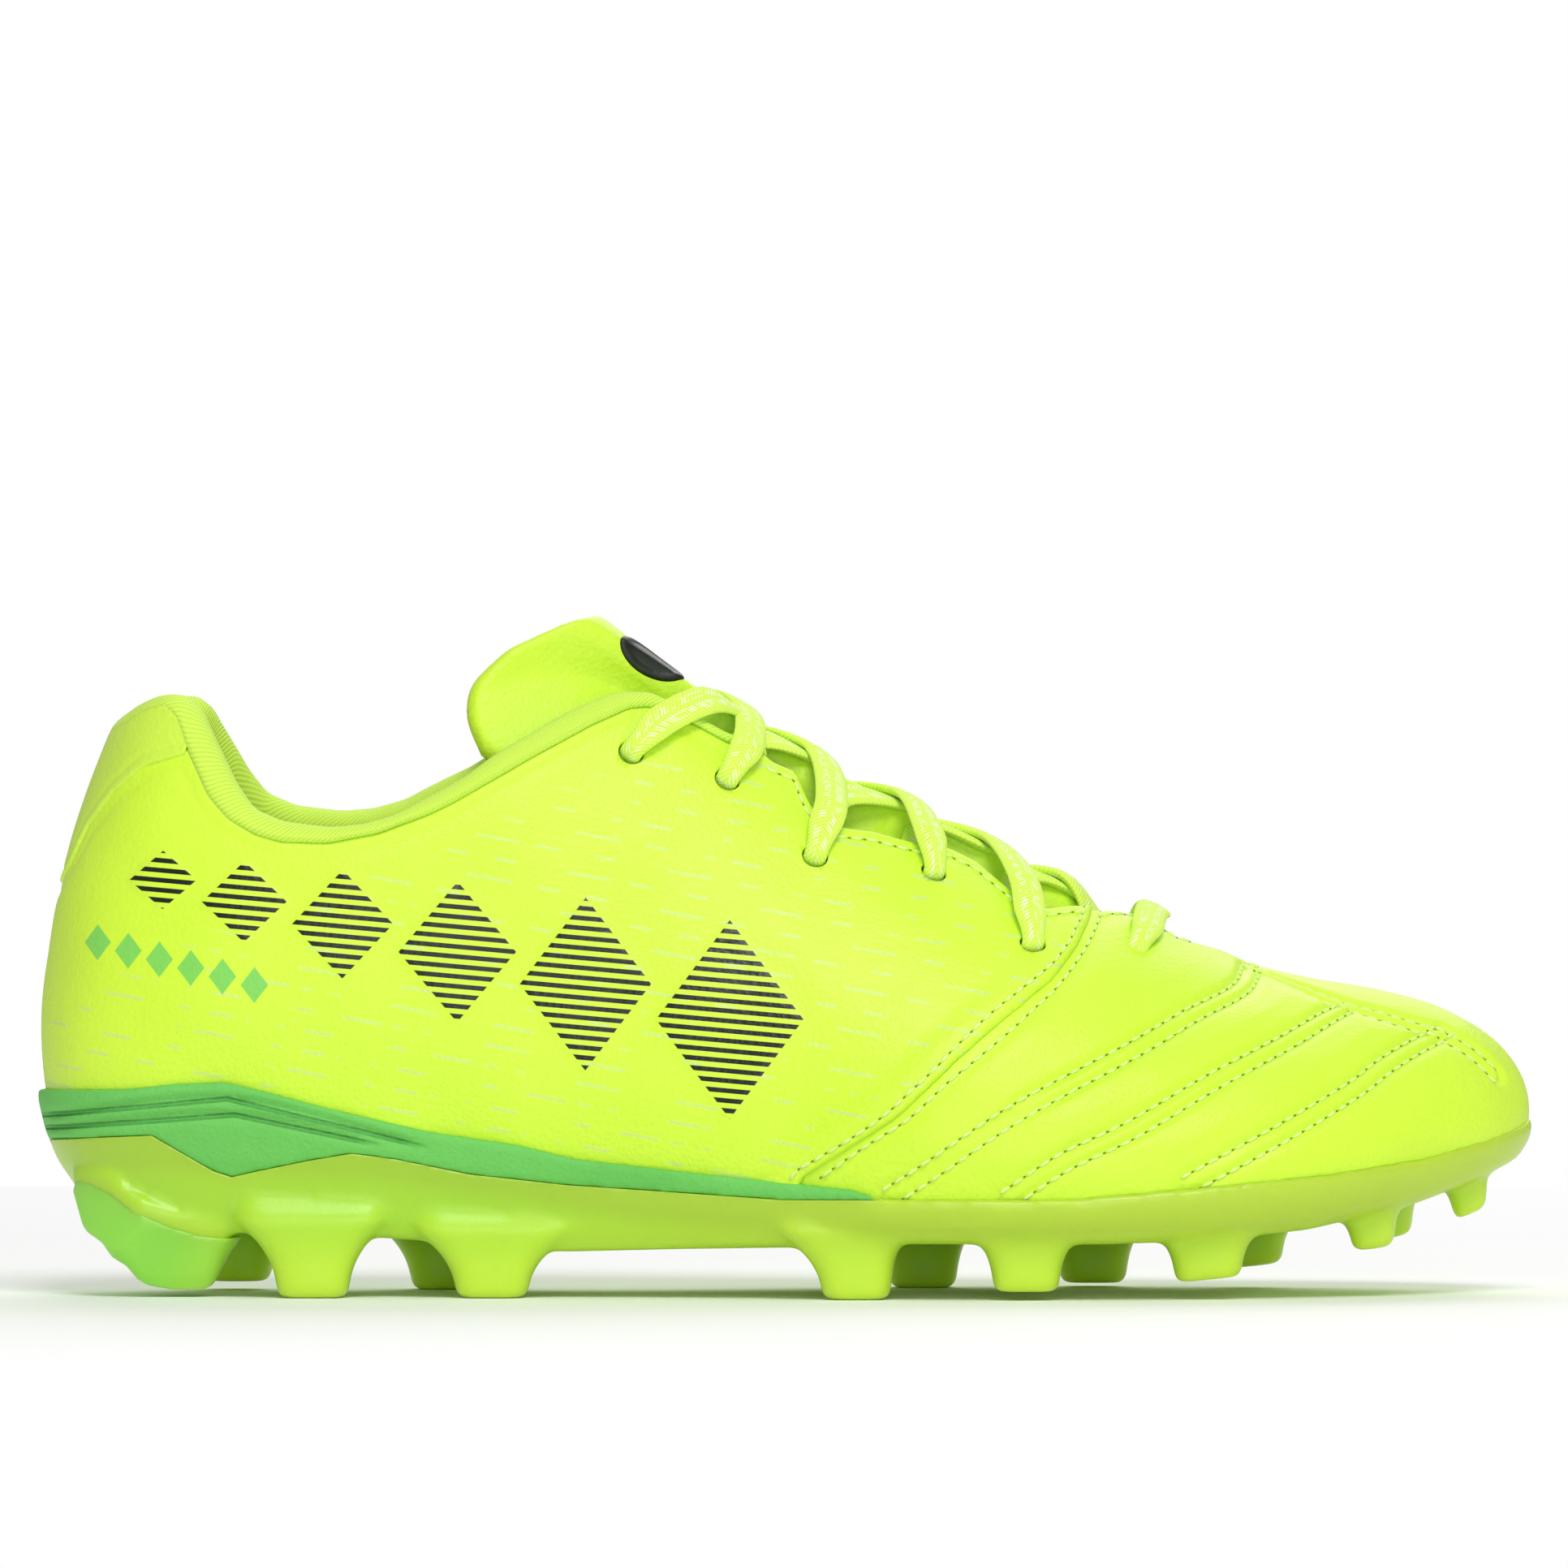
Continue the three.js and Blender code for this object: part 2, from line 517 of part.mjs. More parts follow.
// Stud: tip x range, y centre, tip depth in y, tip height, slope of the tip along x.
function stud({ x, y, deep = 11, z = 0, slope = 0, flare = [5, 5] }) {
  const root = Math.max(along(PLATE_BOTTOM, x[0]), along(PLATE_BOTTOM, x[1])) + 2.4;
  const levels = [[0, 1.2], [0.1, 0.2], [0.55, -0.5], [0.85, -0.75], [1, -1]];
  return loft(levels.map(([f, push]) => {
    const spread = flare.map((reach) => (f === 0 ? -0.9 : reach * f * f));
    const side = push < 0 ? -push * 3 : 0;
    return roundedRing(lerp(z, root, f), x[0] - spread[0], x[1] + spread[1],
      y - deep / 2 - side * f + (f === 0 ? 0.9 : 0), y + deep / 2 + side * f - (f === 0 ? 0.9 : 0), slope * (1 - f));
  }));
}

const STUDS = [
  { x: [-95.6, -82.2], y: -23.5, deep: 12, flare: [8, 8] },
  { x: [-62, -48.5], y: -23.5, deep: 12, flare: [8, 10] },
  { x: [-112, -99], y: 20, deep: 12, z: 1.6, flare: [6, 8] },
  { x: [-72, -59], y: 20.5, deep: 12, flare: [8, 10] },
  { x: [6.8, 19.6], y: -33, deep: 11, flare: [9, 3] },
  { x: [38.7, 51], y: -36, deep: 11, z: 1.6, flare: [4, 4] },
  { x: [72.8, 85.3], y: -31.5, deep: 11, z: 3.2, slope: 0.1, flare: [5, 4] },
  { x: [106.7, 114.7], y: -18.5, deep: 9, z: 8.6, slope: 0.15, flare: [6, 1.5] },
  { x: [126.9, 133.2], y: -2, deep: 8, z: 14.2, slope: 0.4, flare: [6, 0.5] },
  { x: [20, 33], y: 30, deep: 11, flare: [6, 4] },
  { x: [53, 66], y: 34, deep: 11, z: 0.8, flare: [5, 4] },
  { x: [84, 96], y: 31, deep: 11, z: 3.6, slope: 0.1, flare: [5, 4] },
  { x: [112, 120.5], y: 21, deep: 9, z: 9.2, slope: 0.2, flare: [6, 1.5] },
  { x: [40, 49], y: 2, deep: 8, z: 3.4, flare: [4, 4] },
];

const CORNER_OUTLINE = [[-133.8, 22.3], [-131.2, 21.9], [-126.9, 19.9], [-122.1, 16.2], [-116.4, 13.6],
  [-110.4, 11.7], [-104.4, 11.1], [-101.5, 11.9], [-103.8, 9.5], [-106.1, 5.1], [-108.4, 2], [-109.5, 1.5],
  [-115.5, 1.4], [-120.1, 2.2], [-122.1, 3.4], [-124.1, 5.9], [-126.9, 7.5], [-128.6, 10.2], [-131.8, 12.2],
  [-132.9, 13.9], [-135, 18.9]];

function cornerBody(grow = 0) {
  const levels = [[0.6, -121, -108.5, -21, -11.5], [4, -124, -107, -23, -10], [8, -127.5, -105, -24.5, -9],
    [13, -132.5, -101.5, -26.5, -7.5], [24, -136, -100, -28.5, -6.5]];
  return loft(levels.map(([z, x0, x1, y0, y1]) => roundedRing(z, x0 - grow, x1 + grow, y0 - grow, y1 + grow)));
}

const SHOE_ROOM = blob(GAP);
const BLOCK = soleBlock().cut(SHOE_ROOM);
const WEDGE_REGION = slab([[-160, 28.6], ...WEDGE_BOTTOM, [17.4, 60], [-160, 60]]);
const CORE_REGION = slab([...raise(PLATE_BOTTOM.filter(([x]) => x > -130 && x < 10), 3.2), [0, 40], [-128, 40]]);
const CORE = blob(-4, 10).keep(CORE_REGION);
const CORNER_SHAPE = slab(CORNER_OUTLINE, -60, 0);

const HEEL_CORNER = cornerBody().keep(CORNER_SHAPE);
const CORNER_ROOM = cornerBody(GAP).keep(slab(grown(CORNER_OUTLINE, GAP), -60, 0));
const WEDGE = BLOCK.keep(WEDGE_REGION).join(BLOCK.keep(CORE)).cut(CORNER_ROOM);
const WEDGE_ROOM = slab([[-160, 28.3], ...raise(WEDGE_BOTTOM, -GAP), [17.7, 60], [-160, 60]]);
const CORE_ROOM = blob(-4 + GAP, 10).keep(slab([...raise(PLATE_BOTTOM.filter(([x]) => x > -130 && x < 10),
  3.2 - GAP), [0.3, 40], [-128.3, 40]]));
const OUTSOLE = BLOCK.join(...STUDS.map((s) => stud(s).cut(SHOE_ROOM))).cut(WEDGE_ROOM, CORE_ROOM, CORNER_ROOM);

// ---------------------------------------------------------------- inside
const ROOM = blob(LINING[1] - GAP, 6);
const layerAboveBed = (low, high) => ROOM.keep(between(raise(FOOT_BED, low), raise(FOOT_BED, high)));

// ---------------------------------------------------------------- assembly
const YELLOW = 0xd0f649;
const DEEP_YELLOW = 0xb9e03c;
const GREEN = 0x6cbf5c;
const LACE_COLOUR = 0xd6f86c;
const WHITE = 0xe4e8dc;

const BADGE = blob((p, t) => tongueTop(p, t) + 1.3).cut(blob((p, t) => tongueTop(p, t) + GAP, 8)).keep(slab([[-39, 140], [-39, 118], [-28, 112], [-24, 116], [-24, 130]], -6, 10));

const parts = [
  OUTSOLE.mesh('outsole', DEEP_YELLOW, 0.35),
  HEEL_CORNER.mesh('heel_corner_stud', 0x93d548, 0.35),
  WEDGE.mesh('midsole_wedge', GREEN, 0.7),
  layerAboveBed(0.3, 1.8).mesh('insole_board', WHITE, 0.9),
  layerAboveBed(2.1, 6.1).mesh('sockliner', 0xb7dd55, 0.9),
  layerAboveBed(6.4, 7.1).mesh('sockliner_cover', 0xa6cc3a, 0.95),
  VAMP.mesh('vamp', YELLOW, 0.55),
  QUARTERS.keep(LEFT).mesh('quarter_lateral', YELLOW, 0.55),
  QUARTERS.keep(RIGHT).mesh('quarter_medial', YELLOW, 0.55),
  HEEL_PANEL.mesh('heel_panel', YELLOW, 0.55),
  MID.keep(COUNTER_REGION).mesh('heel_counter', WHITE, 0.8),
  MID.keep(COLLAR_REGION).mesh('collar_foam', WHITE, 0.95),
  MID.keep(EYESTAY_REGION).mesh('eyestay_backing', WHITE, 0.9),
  MID.keep(VAMP_FOAM_REGION).cut(slab(grown(EYESTAY_OUTLINE, GAP))).mesh('vamp_foam', WHITE, 0.95),
  MID.keep(PUFF_REGION).mesh('toe_puff', WHITE, 0.8),
  INNER.keep(QUARTER_LINING_REGION).mesh('quarter_lining', 0x90c530, 0.95),
  INNER.keep(VAMP_LINING_REGION).mesh('vamp_lining', 0x90c530, 0.95),
  shell(0.9, (p) => -4.6 - pad(p)).keep(between(raise(COLLAR_EDGE, GAP), BINDING_TOP)).cut(EDGE_ROOM)
    .mesh('collar_binding', 0xd1fa6d, 0.8),
  tongueLayer(0, 1).cut(LACE_ROOM).mesh('tongue_face', 0xdefe56, 0.6),
  tongueLayer(1.3, 3.9).cut(LACE_ROOM).mesh('tongue_foam', WHITE, 0.95),
  tongueLayer(4.4, 5.2).cut(tongueLayer(0, 4.2)).mesh('tongue_lining', 0x90c530, 0.95),
  BADGE.mesh('tongue_badge', 0x101808, 0.5),
  LACE.mesh('lace', LACE_COLOUR, 0.85),
];

const cleat = new THREE.Group();
cleat.name = 'soccer_cleat';
for (const part of parts) cleat.add(part);

export default cleat;
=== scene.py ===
"""Looks of a soccer cleat: fine panels, stitching, braided lace, moulded sole. Lengths in millimetres."""
import json
import math

import bmesh
import bpy
import numpy as np
from mathutils import Matrix, Vector
from mathutils.bvhtree import BVHTree

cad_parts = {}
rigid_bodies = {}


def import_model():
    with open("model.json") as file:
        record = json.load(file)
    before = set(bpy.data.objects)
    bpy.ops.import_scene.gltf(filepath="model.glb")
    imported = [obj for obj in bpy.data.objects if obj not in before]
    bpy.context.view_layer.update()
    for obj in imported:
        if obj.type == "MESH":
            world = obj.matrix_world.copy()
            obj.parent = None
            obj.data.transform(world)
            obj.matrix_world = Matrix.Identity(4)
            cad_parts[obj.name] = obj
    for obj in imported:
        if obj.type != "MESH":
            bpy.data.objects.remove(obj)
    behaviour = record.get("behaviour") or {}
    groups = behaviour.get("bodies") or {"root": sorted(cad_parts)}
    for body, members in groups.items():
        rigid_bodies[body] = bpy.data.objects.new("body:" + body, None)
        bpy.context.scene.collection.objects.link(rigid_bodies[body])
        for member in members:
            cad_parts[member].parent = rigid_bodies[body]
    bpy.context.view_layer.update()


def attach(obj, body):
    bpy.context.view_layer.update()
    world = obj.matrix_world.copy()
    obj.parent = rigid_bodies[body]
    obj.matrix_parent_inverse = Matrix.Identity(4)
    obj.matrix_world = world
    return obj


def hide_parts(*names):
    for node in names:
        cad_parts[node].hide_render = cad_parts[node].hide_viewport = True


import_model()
MM = 0.001

# ---------------------------------------------------------------- last surface
# Rows from heel to toe: foot x, lateral y, medial y, z | belly out, rise | ridge x, lateral y, medial y, z |
# crown out, drop.
STATIONS = np.array([
    [-136.5, 0, 0, 25, 13, 27, -112, 0, 0, 140, 25, 47],
    [-130, -18, 17.5, 25, 12, 27, -108, -11, 11, 140, 22, 47],
    [-112, -27, 25.5, 25, 11, 27, -98, -17, 17, 140, 15, 47],
    [-84, -29, 26, 24, 11.5, 28, -80, -19, 19, 140, 10, 46],
    [-54, -29.5, 24.5, 20.5, 13, 30, -56, -12, 15, 137, 13, 32],
    [-25, -32, 25, 16.5, 14, 32, -28, -3.5, 7.5, 124, 15, 9],
    [2, -37, 31, 14.5, 15, 32, 0, 2.4, 3.6, 106, 16, 0],
    [29, -42.5, 39, 13.8, 15.5, 28, 27, 3.6, 4.4, 92, 16.5, 0],
    [56, -43.5, 42.5, 13.8, 15.5, 24, 54, 4.7, 5.3, 78.5, 17, 0],
    [82, -39.5, 40.5, 14.5, 14, 21, 79, 5.2, 5.8, 66.5, 19, 0],
    [104, -30.5, 35.5, 16.6, 12.5, 18.2, 99, 5.7, 6.3, 59.6, 18.5, 0],
    [122, -17, 28, 20.2, 10.5, 15, 114, 6.2, 6.8, 56.6, 16, 0],
    [133.5, -5, 18.5, 24.2, 8.5, 11.5, 124, 6.7, 7.3, 54, 13, 0],
    [138, 7, 7, 26.2, 7.5, 9, 128.5, 7, 7, 51.8, 10.5, 0],
])
LAST = len(STATIONS) - 1
LATERAL_COLUMNS = [0, 1, 3, 4, 5, 6, 7, 9, 10, 11]
MEDIAL_COLUMNS = [0, 2, 3, 4, 5, 6, 8, 9, 10, 11]


def side_ring(side):
    lateral, medial = STATIONS[:, LATERAL_COLUMNS], STATIONS[:, MEDIAL_COLUMNS]
    own, other = (lateral, medial) if side < 0 else (medial, lateral)
    return np.concatenate([other[2:0:-1], own, other[-2:-4:-1]])


SIDE_RINGS = {-1: side_ring(-1), 1: side_ring(1)}


def spline(rows, k):
    k = np.clip(k, 0, len(rows) - 1)
    i = np.minimum(k.astype(int), len(rows) - 2)
    f = (k - i)[..., None]
    p0, p1 = rows[np.maximum(i - 1, 0)], rows[i]
    p2, p3 = rows[i + 1], rows[np.minimum(i + 2, len(rows) - 1)]
    return 0.5 * (2 * p1 + (p2 - p0) * f + (2 * p0 - 5 * p1 + 4 * p2 - p3) * f * f
                  + (3 * p1 - p0 - 3 * p2 + p3) * f ** 3)


def unit(v):
    return v / (np.linalg.norm(v, axis=-1, keepdims=True) + 1e-12)


def surface(u, t, side):
    """Points of the last surface on one side: u 0 heel to 1 toe, t 0 sole edge to 1 ridge."""
    u, t = np.broadcast_arrays(np.asarray(u, float), np.asarray(t, float))
    k = 2 + u * LAST
    q = spline(SIDE_RINGS[side], k)
    d = spline(SIDE_RINGS[side], k + 1e-3) - spline(SIDE_RINGS[side], k - 1e-3)
    turn = -1 if side > 0 else 1
    out = unit(np.stack([d[..., 1] * turn, -d[..., 0] * turn], -1))
    foot, top = q[..., 0:3], q[..., 5:8]
    belly = foot + np.stack([out[..., 0] * q[..., 3], out[..., 1] * q[..., 3], q[..., 4]], -1)
    down = unit(foot[..., :2] - top[..., :2])
    ridge = STATIONS[:, [6, 9]]
    step = spline(ridge, np.minimum(u * LAST + 0.05, LAST)) - spline(ridge, np.maximum(u * LAST - 0.05, 0))
    slope = np.where(top[..., 2] > 138, 0, step[..., 1] / np.where(np.abs(step[..., 0]) < 1e-9, 1, step[..., 0]))
    crown = top + np.stack([down[..., 0] * q[..., 8], down[..., 1] * q[..., 8],
                            slope * down[..., 0] * q[..., 8] - q[..., 9]], -1)
    t = t[..., None]
    m = 1 - t
    return foot * m ** 3 + belly * 3 * m * m * t + crown * 3 * m * t * t + top * t ** 3


def normals(u, t, side):
    u, t = np.broadcast_arrays(np.asarray(u, float), np.asarray(t, float))
    e = 2e-3
    along = surface(np.minimum(u + e, 1), t, side) - surface(np.maximum(u - e, 0), t, side)
    near = np.where(u < e, e, 1 - e)
    across = surface(near, t, side) - surface(near, t, -side)
    across = np.where((u > 0.5)[..., None], -across, across)
    along = np.where(((u < e) | (u > 1 - e))[..., None], across, along)
    up = surface(u, np.minimum(t + e, 1), side) - surface(u, np.maximum(t - e, 0), side)
    n = unit(np.cross(along, up))
    return n if side < 0 else -n


def line(points):
    x, z = np.array(points, float).T
    return lambda v: np.interp(v, x, z)


def smoothstep(a, b, v):
    f = np.clip((v - a) / (b - a), 0, 1)
    return f * f * (3 - 2 * f)


# ---------------------------------------------------------------- side-view lines, x and z
COLLAR = [[-150, 103.5], [-130, 105.2], [-125.7, 107.4], [-121, 110.2], [-117, 111.4], [-114.6, 109.6], [-112.4, 103.8], [-108.4, 95.2],
          [-104.6, 90.7], [-99.6, 87.6], [-94.6, 86.1], [-85.8, 85.8], [-76.4, 87.6], [-66.8, 91.3],
          [-62.4, 93.5], [-47.3, 102.4], [-36.5, 108.4], [-29.6, 111.5], [-25.7, 111.8], [-19.6, 109.6],
          [-10.9, 104.9], [-5.5, 104]]
THROAT = [[-2.6, 101.5], [2, 99.5], [4.6, 93.2], [8.9, 89.2], [16.5, 88.2], [25.3, 85.8], [31, 85],
          [36, 82.5], [43.6, 76.2], [49.4, 73.5], [57.4, 73.2], [63.6, 72.8], [69.9, 70.7], [74.4, 67.5],
          [77, 65.5], [79, 90]]
HEEL_SEAM = [[-150, 66], [-139.2, 76.2], [-134.8, 83.8], [-131.7, 90.1], [-126.6, 96.4], [-120.3, 101.5],
             [-112.4, 103.8]]
VAMP_SEAM = [[2.3, 22.6], [10.5, 27.9], [20.2, 34], [31.9, 45], [37.3, 49.9], [43.6, 55], [50.5, 60.5],
             [54.8, 66.2], [57.4, 71.3], [58.6, 76], [60, 90]]
SOLE_EDGE = [[-145, 39], [-123.5, 39.4], [-113.3, 40.5], [-104.6, 40.8], [-96.4, 38.8], [-85.8, 36],
             [-66.8, 31.6], [-50, 29.1], [-39, 26.5], [-14.3, 23.7], [-3.2, 22.6], [12.6, 21], [17.7, 19.4],
             [51.6, 19.4], [76.4, 21.4], [101.3, 23.7], [120, 26.6], [132.3, 30], [138.6, 32], [142, 34]]
WEDGE_BOTTOM = [[-150, 28.6], [-131, 30], [-119, 30.6], [-114.3, 27.9], [-107.3, 23.9], [-104, 22.8],
                [-99.2, 23.9], [-89.5, 25.9], [-81.3, 27.3], [-73, 26.2], [-59.3, 23.4], [-40.8, 21.4],
                [-28, 20.6], [-0.5, 18.8], [17, 18.9]]
PLATE_BOTTOM = [[-142, 22], [-136, 18], [-128, 14], [-118, 12.2], [-90, 12], [-65, 10.5], [-42, 8.6],
                [-20, 9.2], [0, 9.6], [20, 10.4], [60, 10.4], [80, 11], [100, 12.8], [120, 16.8], [132, 20.8],
                [142, 25]]
FOOT_BED = [[-142, 25], [-112, 25], [-84, 24], [-54, 20.5], [-25, 16.5], [2, 14.5], [29, 13.8],
            [56, 13.8], [82, 14.5], [104, 16.6], [122, 20.2], [133.5, 24.2], [142, 26.6]]
COLLAR_LINE = line(COLLAR + THROAT)
QUARTER_TOP = line(HEEL_SEAM + COLLAR[7:] + THROAT)
SEAM_Z = line(VAMP_SEAM)


def rise_to(u, side, edge, first=0.0):
    """Height t at which each rib first crosses the side-view line edge; 1 where it never does."""
    ts = np.linspace(first, 1, 240)
    p = surface(u[:, None], ts[None, :], side)
    gap = p[..., 2] - edge(p[..., 0])
    hit = gap > 0
    i = np.clip(np.argmax(hit, axis=1), 1, len(ts) - 1)
    rows = np.arange(len(u))
    g0, g1 = gap[rows, i - 1], gap[rows, i]
    f = np.clip(-g0 / (g1 - g0 + 1e-9), 0, 1)
    return np.where(hit.any(axis=1), ts[i - 1] + f * (ts[i] - ts[i - 1]), 1.0)


def locate(x, z, side):
    """u and t of the surface point seen from the side at x, z."""
    u, t, span = 0.5, 0.5, 0.5
    steps = np.linspace(-1, 1, 9)
    for _ in range(24):
        uu, tt = np.meshgrid(np.clip(u + steps * span, 0, 1), np.clip(t + steps * span, 0, 1))
        p = surface(uu, tt, side)
        i = np.unravel_index(np.argmin((p[..., 0] - x) ** 2 + (p[..., 2] - z) ** 2), uu.shape)
        u, t = uu[i], tt[i]
        span *= 0.62
    return u, t


def at(x, z, side, off=0.0):
    u, t = locate(x, z, side)
    return surface(u, t, side) + normals(u, t, side) * off


# ---------------------------------------------------------------- mesh helpers
def new_object(name, verts, faces, body="shoe", material=None, uv=None):
    mesh = bpy.data.meshes.new(name)
    mesh.from_pydata((np.asarray(verts) * MM).tolist(), [], [tuple(int(i) for i in f) for f in faces])
    mesh.validate()
    if uv is not None:
        layer = mesh.uv_layers.new(name="UVMap")
        index = np.zeros(len(mesh.loops), dtype=np.int32)
        mesh.loops.foreach_get("vertex_index", index)
        layer.data.foreach_set("uv", np.asarray(uv, np.float32)[index].ravel())
    obj = bpy.data.objects.new(name, mesh)
    bpy.context.scene.collection.objects.link(obj)
    mesh.polygons.foreach_set("use_smooth", [True] * len(mesh.polygons))
    if material:
        mesh.materials.append(material)
    if body:
        obj["body"] = body
    return obj


def grid_faces(rows, cols, start=0, flip=False, wrap=False):
    r = np.arange(rows - 1)[:, None]
    c = np.arange(cols if wrap else cols - 1)[None, :]
    a = start + r * cols + c
    b = start + r * cols + (c + 1) % cols
    quads = np.stack([a, b, b + cols, a + cols], -1).reshape(-1, 4)
    return quads[:, ::-1] if flip else quads


def close_shell(outer, inner, faces):
    """Closed body between two sheets with the same faces; faces wind outward on the outer sheet."""
    n = len(outer)
    seen = {}
    for f in faces:
        for a, b in zip(f, np.roll(f, -1)):
            seen[(int(a), int(b))] = True
    rim = [(a, b) for a, b in seen if (b, a) not in seen]
    all_faces = list(faces) + [tuple(int(i) + n for i in f[::-1]) for f in faces]
    all_faces += [(b, a, a + n, b + n) for a, b in rim]
    return np.concatenate([outer, inner]), all_faces


def weld(points, faces, near=0.02):
    """Merge points closer than near; returns new points, faces and the map from old to new."""
    key = np.round(points / near).astype(np.int64)
    _, first, back = np.unique(key, axis=0, return_index=True, return_inverse=True)
    back = back.ravel()
    kept = []
    for f in faces:
        g = [int(back[i]) for i in f]
        g = [v for i, v in enumerate(g) if v != g[i - 1]]
        if len(g) > 2:
            kept.append(tuple(g))
    return points[first], kept, first, back


def edge_round(distance, radius):
    """How far a surface falls away near a cut edge."""
    f = 1 - np.clip(distance / radius, 0, 1)
    return radius * (1 - np.sqrt(np.maximum(1 - f * f, 0)))


def path_length(points):
    return np.concatenate([[0], np.cumsum(np.linalg.norm(np.diff(points, axis=0), axis=1))])


def resample(points, spacing):
    s = path_length(points)
    count = max(int(round(s[-1] / spacing)), 2)
    want = np.linspace(0, s[-1], count + 1)
    return np.stack([np.interp(want, s, points[:, k]) for k in range(points.shape[1])], 1)


def curve_through(points, spacing=0.8):
    """Smooth path through the points, evenly sampled."""
    points = np.asarray(points, float)
    chord = np.sqrt(np.linalg.norm(np.diff(points, axis=0), axis=1))
    knots = np.concatenate([[0], np.cumsum(chord)])
    out = []
    for i in range(len(points) - 1):
        p0 = points[max(i - 1, 0)] if i else 2 * points[0] - points[1]
        p3 = points[i + 2] if i + 2 < len(points) else 2 * points[-1] - points[-2]
        p1, p2 = points[i], points[i + 1]
        d1 = knots[i + 1] - knots[i]
        d0 = knots[i] - knots[i - 1] if i else d1
        d2 = knots[i + 2] - knots[i + 1] if i + 2 < len(points) else d1
        m1 = (p1 - p0) / d0 - (p2 - p0) / (d0 + d1) + (p2 - p1) / d1
        m2 = (p2 - p1) / d1 - (p3 - p1) / (d1 + d2) + (p3 - p2) / d2
        f = np.linspace(0, 1, 24, endpoint=False)[:, None]
        out.append((2 * f ** 3 - 3 * f ** 2 + 1) * p1 + (f ** 3 - 2 * f ** 2 + f) * m1 * d1
                   + (3 * f ** 2 - 2 * f ** 3) * p2 + (f ** 3 - f ** 2) * m2 * d1)
    out.append(points[-1:])
    return resample(np.concatenate(out), spacing)


def distance_to(points, samples):
    """Distance from each point to a densely sampled line."""
    tree = BVHTree.FromPolygons([tuple(p) for p in samples],
                                [(i, i + 1, i) for i in range(len(samples) - 1)])
    found = np.empty(len(points))
    for i, p in enumerate(points):
        hit = tree.find_nearest(Vector(p), 30)
        found[i] = hit[3] if hit[0] is not None else 30
    return found


# ---------------------------------------------------------------- materials
def srgb(code, alpha=1.0):
    channels = [int(code[i:i + 2], 16) / 255 for i in (1, 3, 5)]
    return [c / 12.92 if c <= 0.04045 else ((c + 0.055) / 1.055) ** 2.4 for c in channels] + [alpha]


class Nodes:
    """Small helper that adds nodes to one material."""

    def __init__(self, name):
        self.material = bpy.data.materials.new(name)
        self.material.use_nodes = True
        self.tree = self.material.node_tree
        self.shader = self.tree.nodes["Principled BSDF"]

    def add(self, kind, inputs=None, **settings):
        node = self.tree.nodes.new(kind)
        for key, value in settings.items():
            setattr(node, key, value)
        for key, value in (inputs or {}).items():
            self.put(node.inputs[key], value)
        return node

    def put(self, socket, value):
        if isinstance(value, bpy.types.NodeSocket):
            self.tree.links.new(value, socket)
        else:
            socket.default_value = value

    def math(self, operation, a, b=0.0, c=None, clamp=False):
        values = {0: a, 1: b} if c is None else {0: a, 1: b, 2: c}
        return self.add("ShaderNodeMath", values, operation=operation, use_clamp=clamp).outputs[0]

    def mix(self, factor, a, b):
        node = self.add("ShaderNodeMix", data_type="RGBA")
        self.put(node.inputs["Factor"], factor)
        self.put(node.inputs[6], a)
        self.put(node.inputs[7], b)
        return node.outputs[2]

    def position(self):
        return self.add("ShaderNodeTexCoord").outputs["Object"]

    def axes(self, vector=None):
        split = self.add("ShaderNodeSeparateXYZ", {0: vector or self.position()})
        return [self.math("MULTIPLY", s, 1000.0) for s in split.outputs]

    def noise(self, scale_mm, detail=3.0, vector=None, roughness=0.5):
        node = self.add("ShaderNodeTexNoise", {"Vector": vector or self.position(), "Scale": 1000.0 / scale_mm,
                                               "Detail": detail, "Roughness": roughness})
        return node.outputs["Fac"]

    def cells(self, scale_mm, vector=None, feature="F1"):
        node = self.add("ShaderNodeTexVoronoi", {"Vector": vector or self.position(),
                                                 "Scale": 1000.0 / scale_mm}, feature=feature)
        return node.outputs["Distance"]

    def bump(self, height, depth_mm, normal=None):
        values = {"Height": height, "Distance": depth_mm * MM, "Strength": 1.0}
        if normal:
            values["Normal"] = normal
        return self.add("ShaderNodeBump", values).outputs["Normal"]

    def ramp(self, value, low, high):
        return self.add("ShaderNodeMapRange", {0: value, 1: low, 2: high}, clamp=True).outputs[0]

    def finish(self, colour, roughness, normal=None, **values):
        self.put(self.shader.inputs["Base Color"], colour)
        self.put(self.shader.inputs["Roughness"], roughness)
        if normal:
            self.put(self.shader.inputs["Normal"], normal)
        for key, value in values.items():
            self.shader.inputs[key.replace("_", " ")].default_value = value
        return self.material


# Diamonds printed on each quarter: centre x, centre z, half height, half width, growing to the front.
DIAMONDS = [(-117, 78.5, 5.5, 6.5), (-101.5, 74.4, 7.6, 8), (-83, 70.2, 10.2, 9.5), (-61.5, 65, 13.2, 11),
            (-37.5, 59, 16.2, 12.3), (-10.5, 52.4, 18.6, 13.8)]
SMALL_DIAMONDS = [(-129.5, 66.8, 3.4, 2.6), (-123.5, 65.2, 3.4, 2.6), (-117.5, 63.6, 3.4, 2.6),
                  (-111.5, 62, 3.4, 2.6), (-105.5, 60.4, 3.4, 2.6), (-99.5, 58.8, 3.4, 2.6)]
HATCH_PITCH = 1.86


def grain(n):
    """Fine leather grain and soft unevenness, as a normal."""
    fine = n.cells(1.05)
    pores = n.noise(0.45, 2.0)
    height = n.math("ADD", n.math("MULTIPLY", fine, 0.7), n.math("MULTIPLY", pores, 0.45))
    first = n.bump(height, 0.12)
    return n.bump(n.noise(9.0, 2.0), 0.22, first)


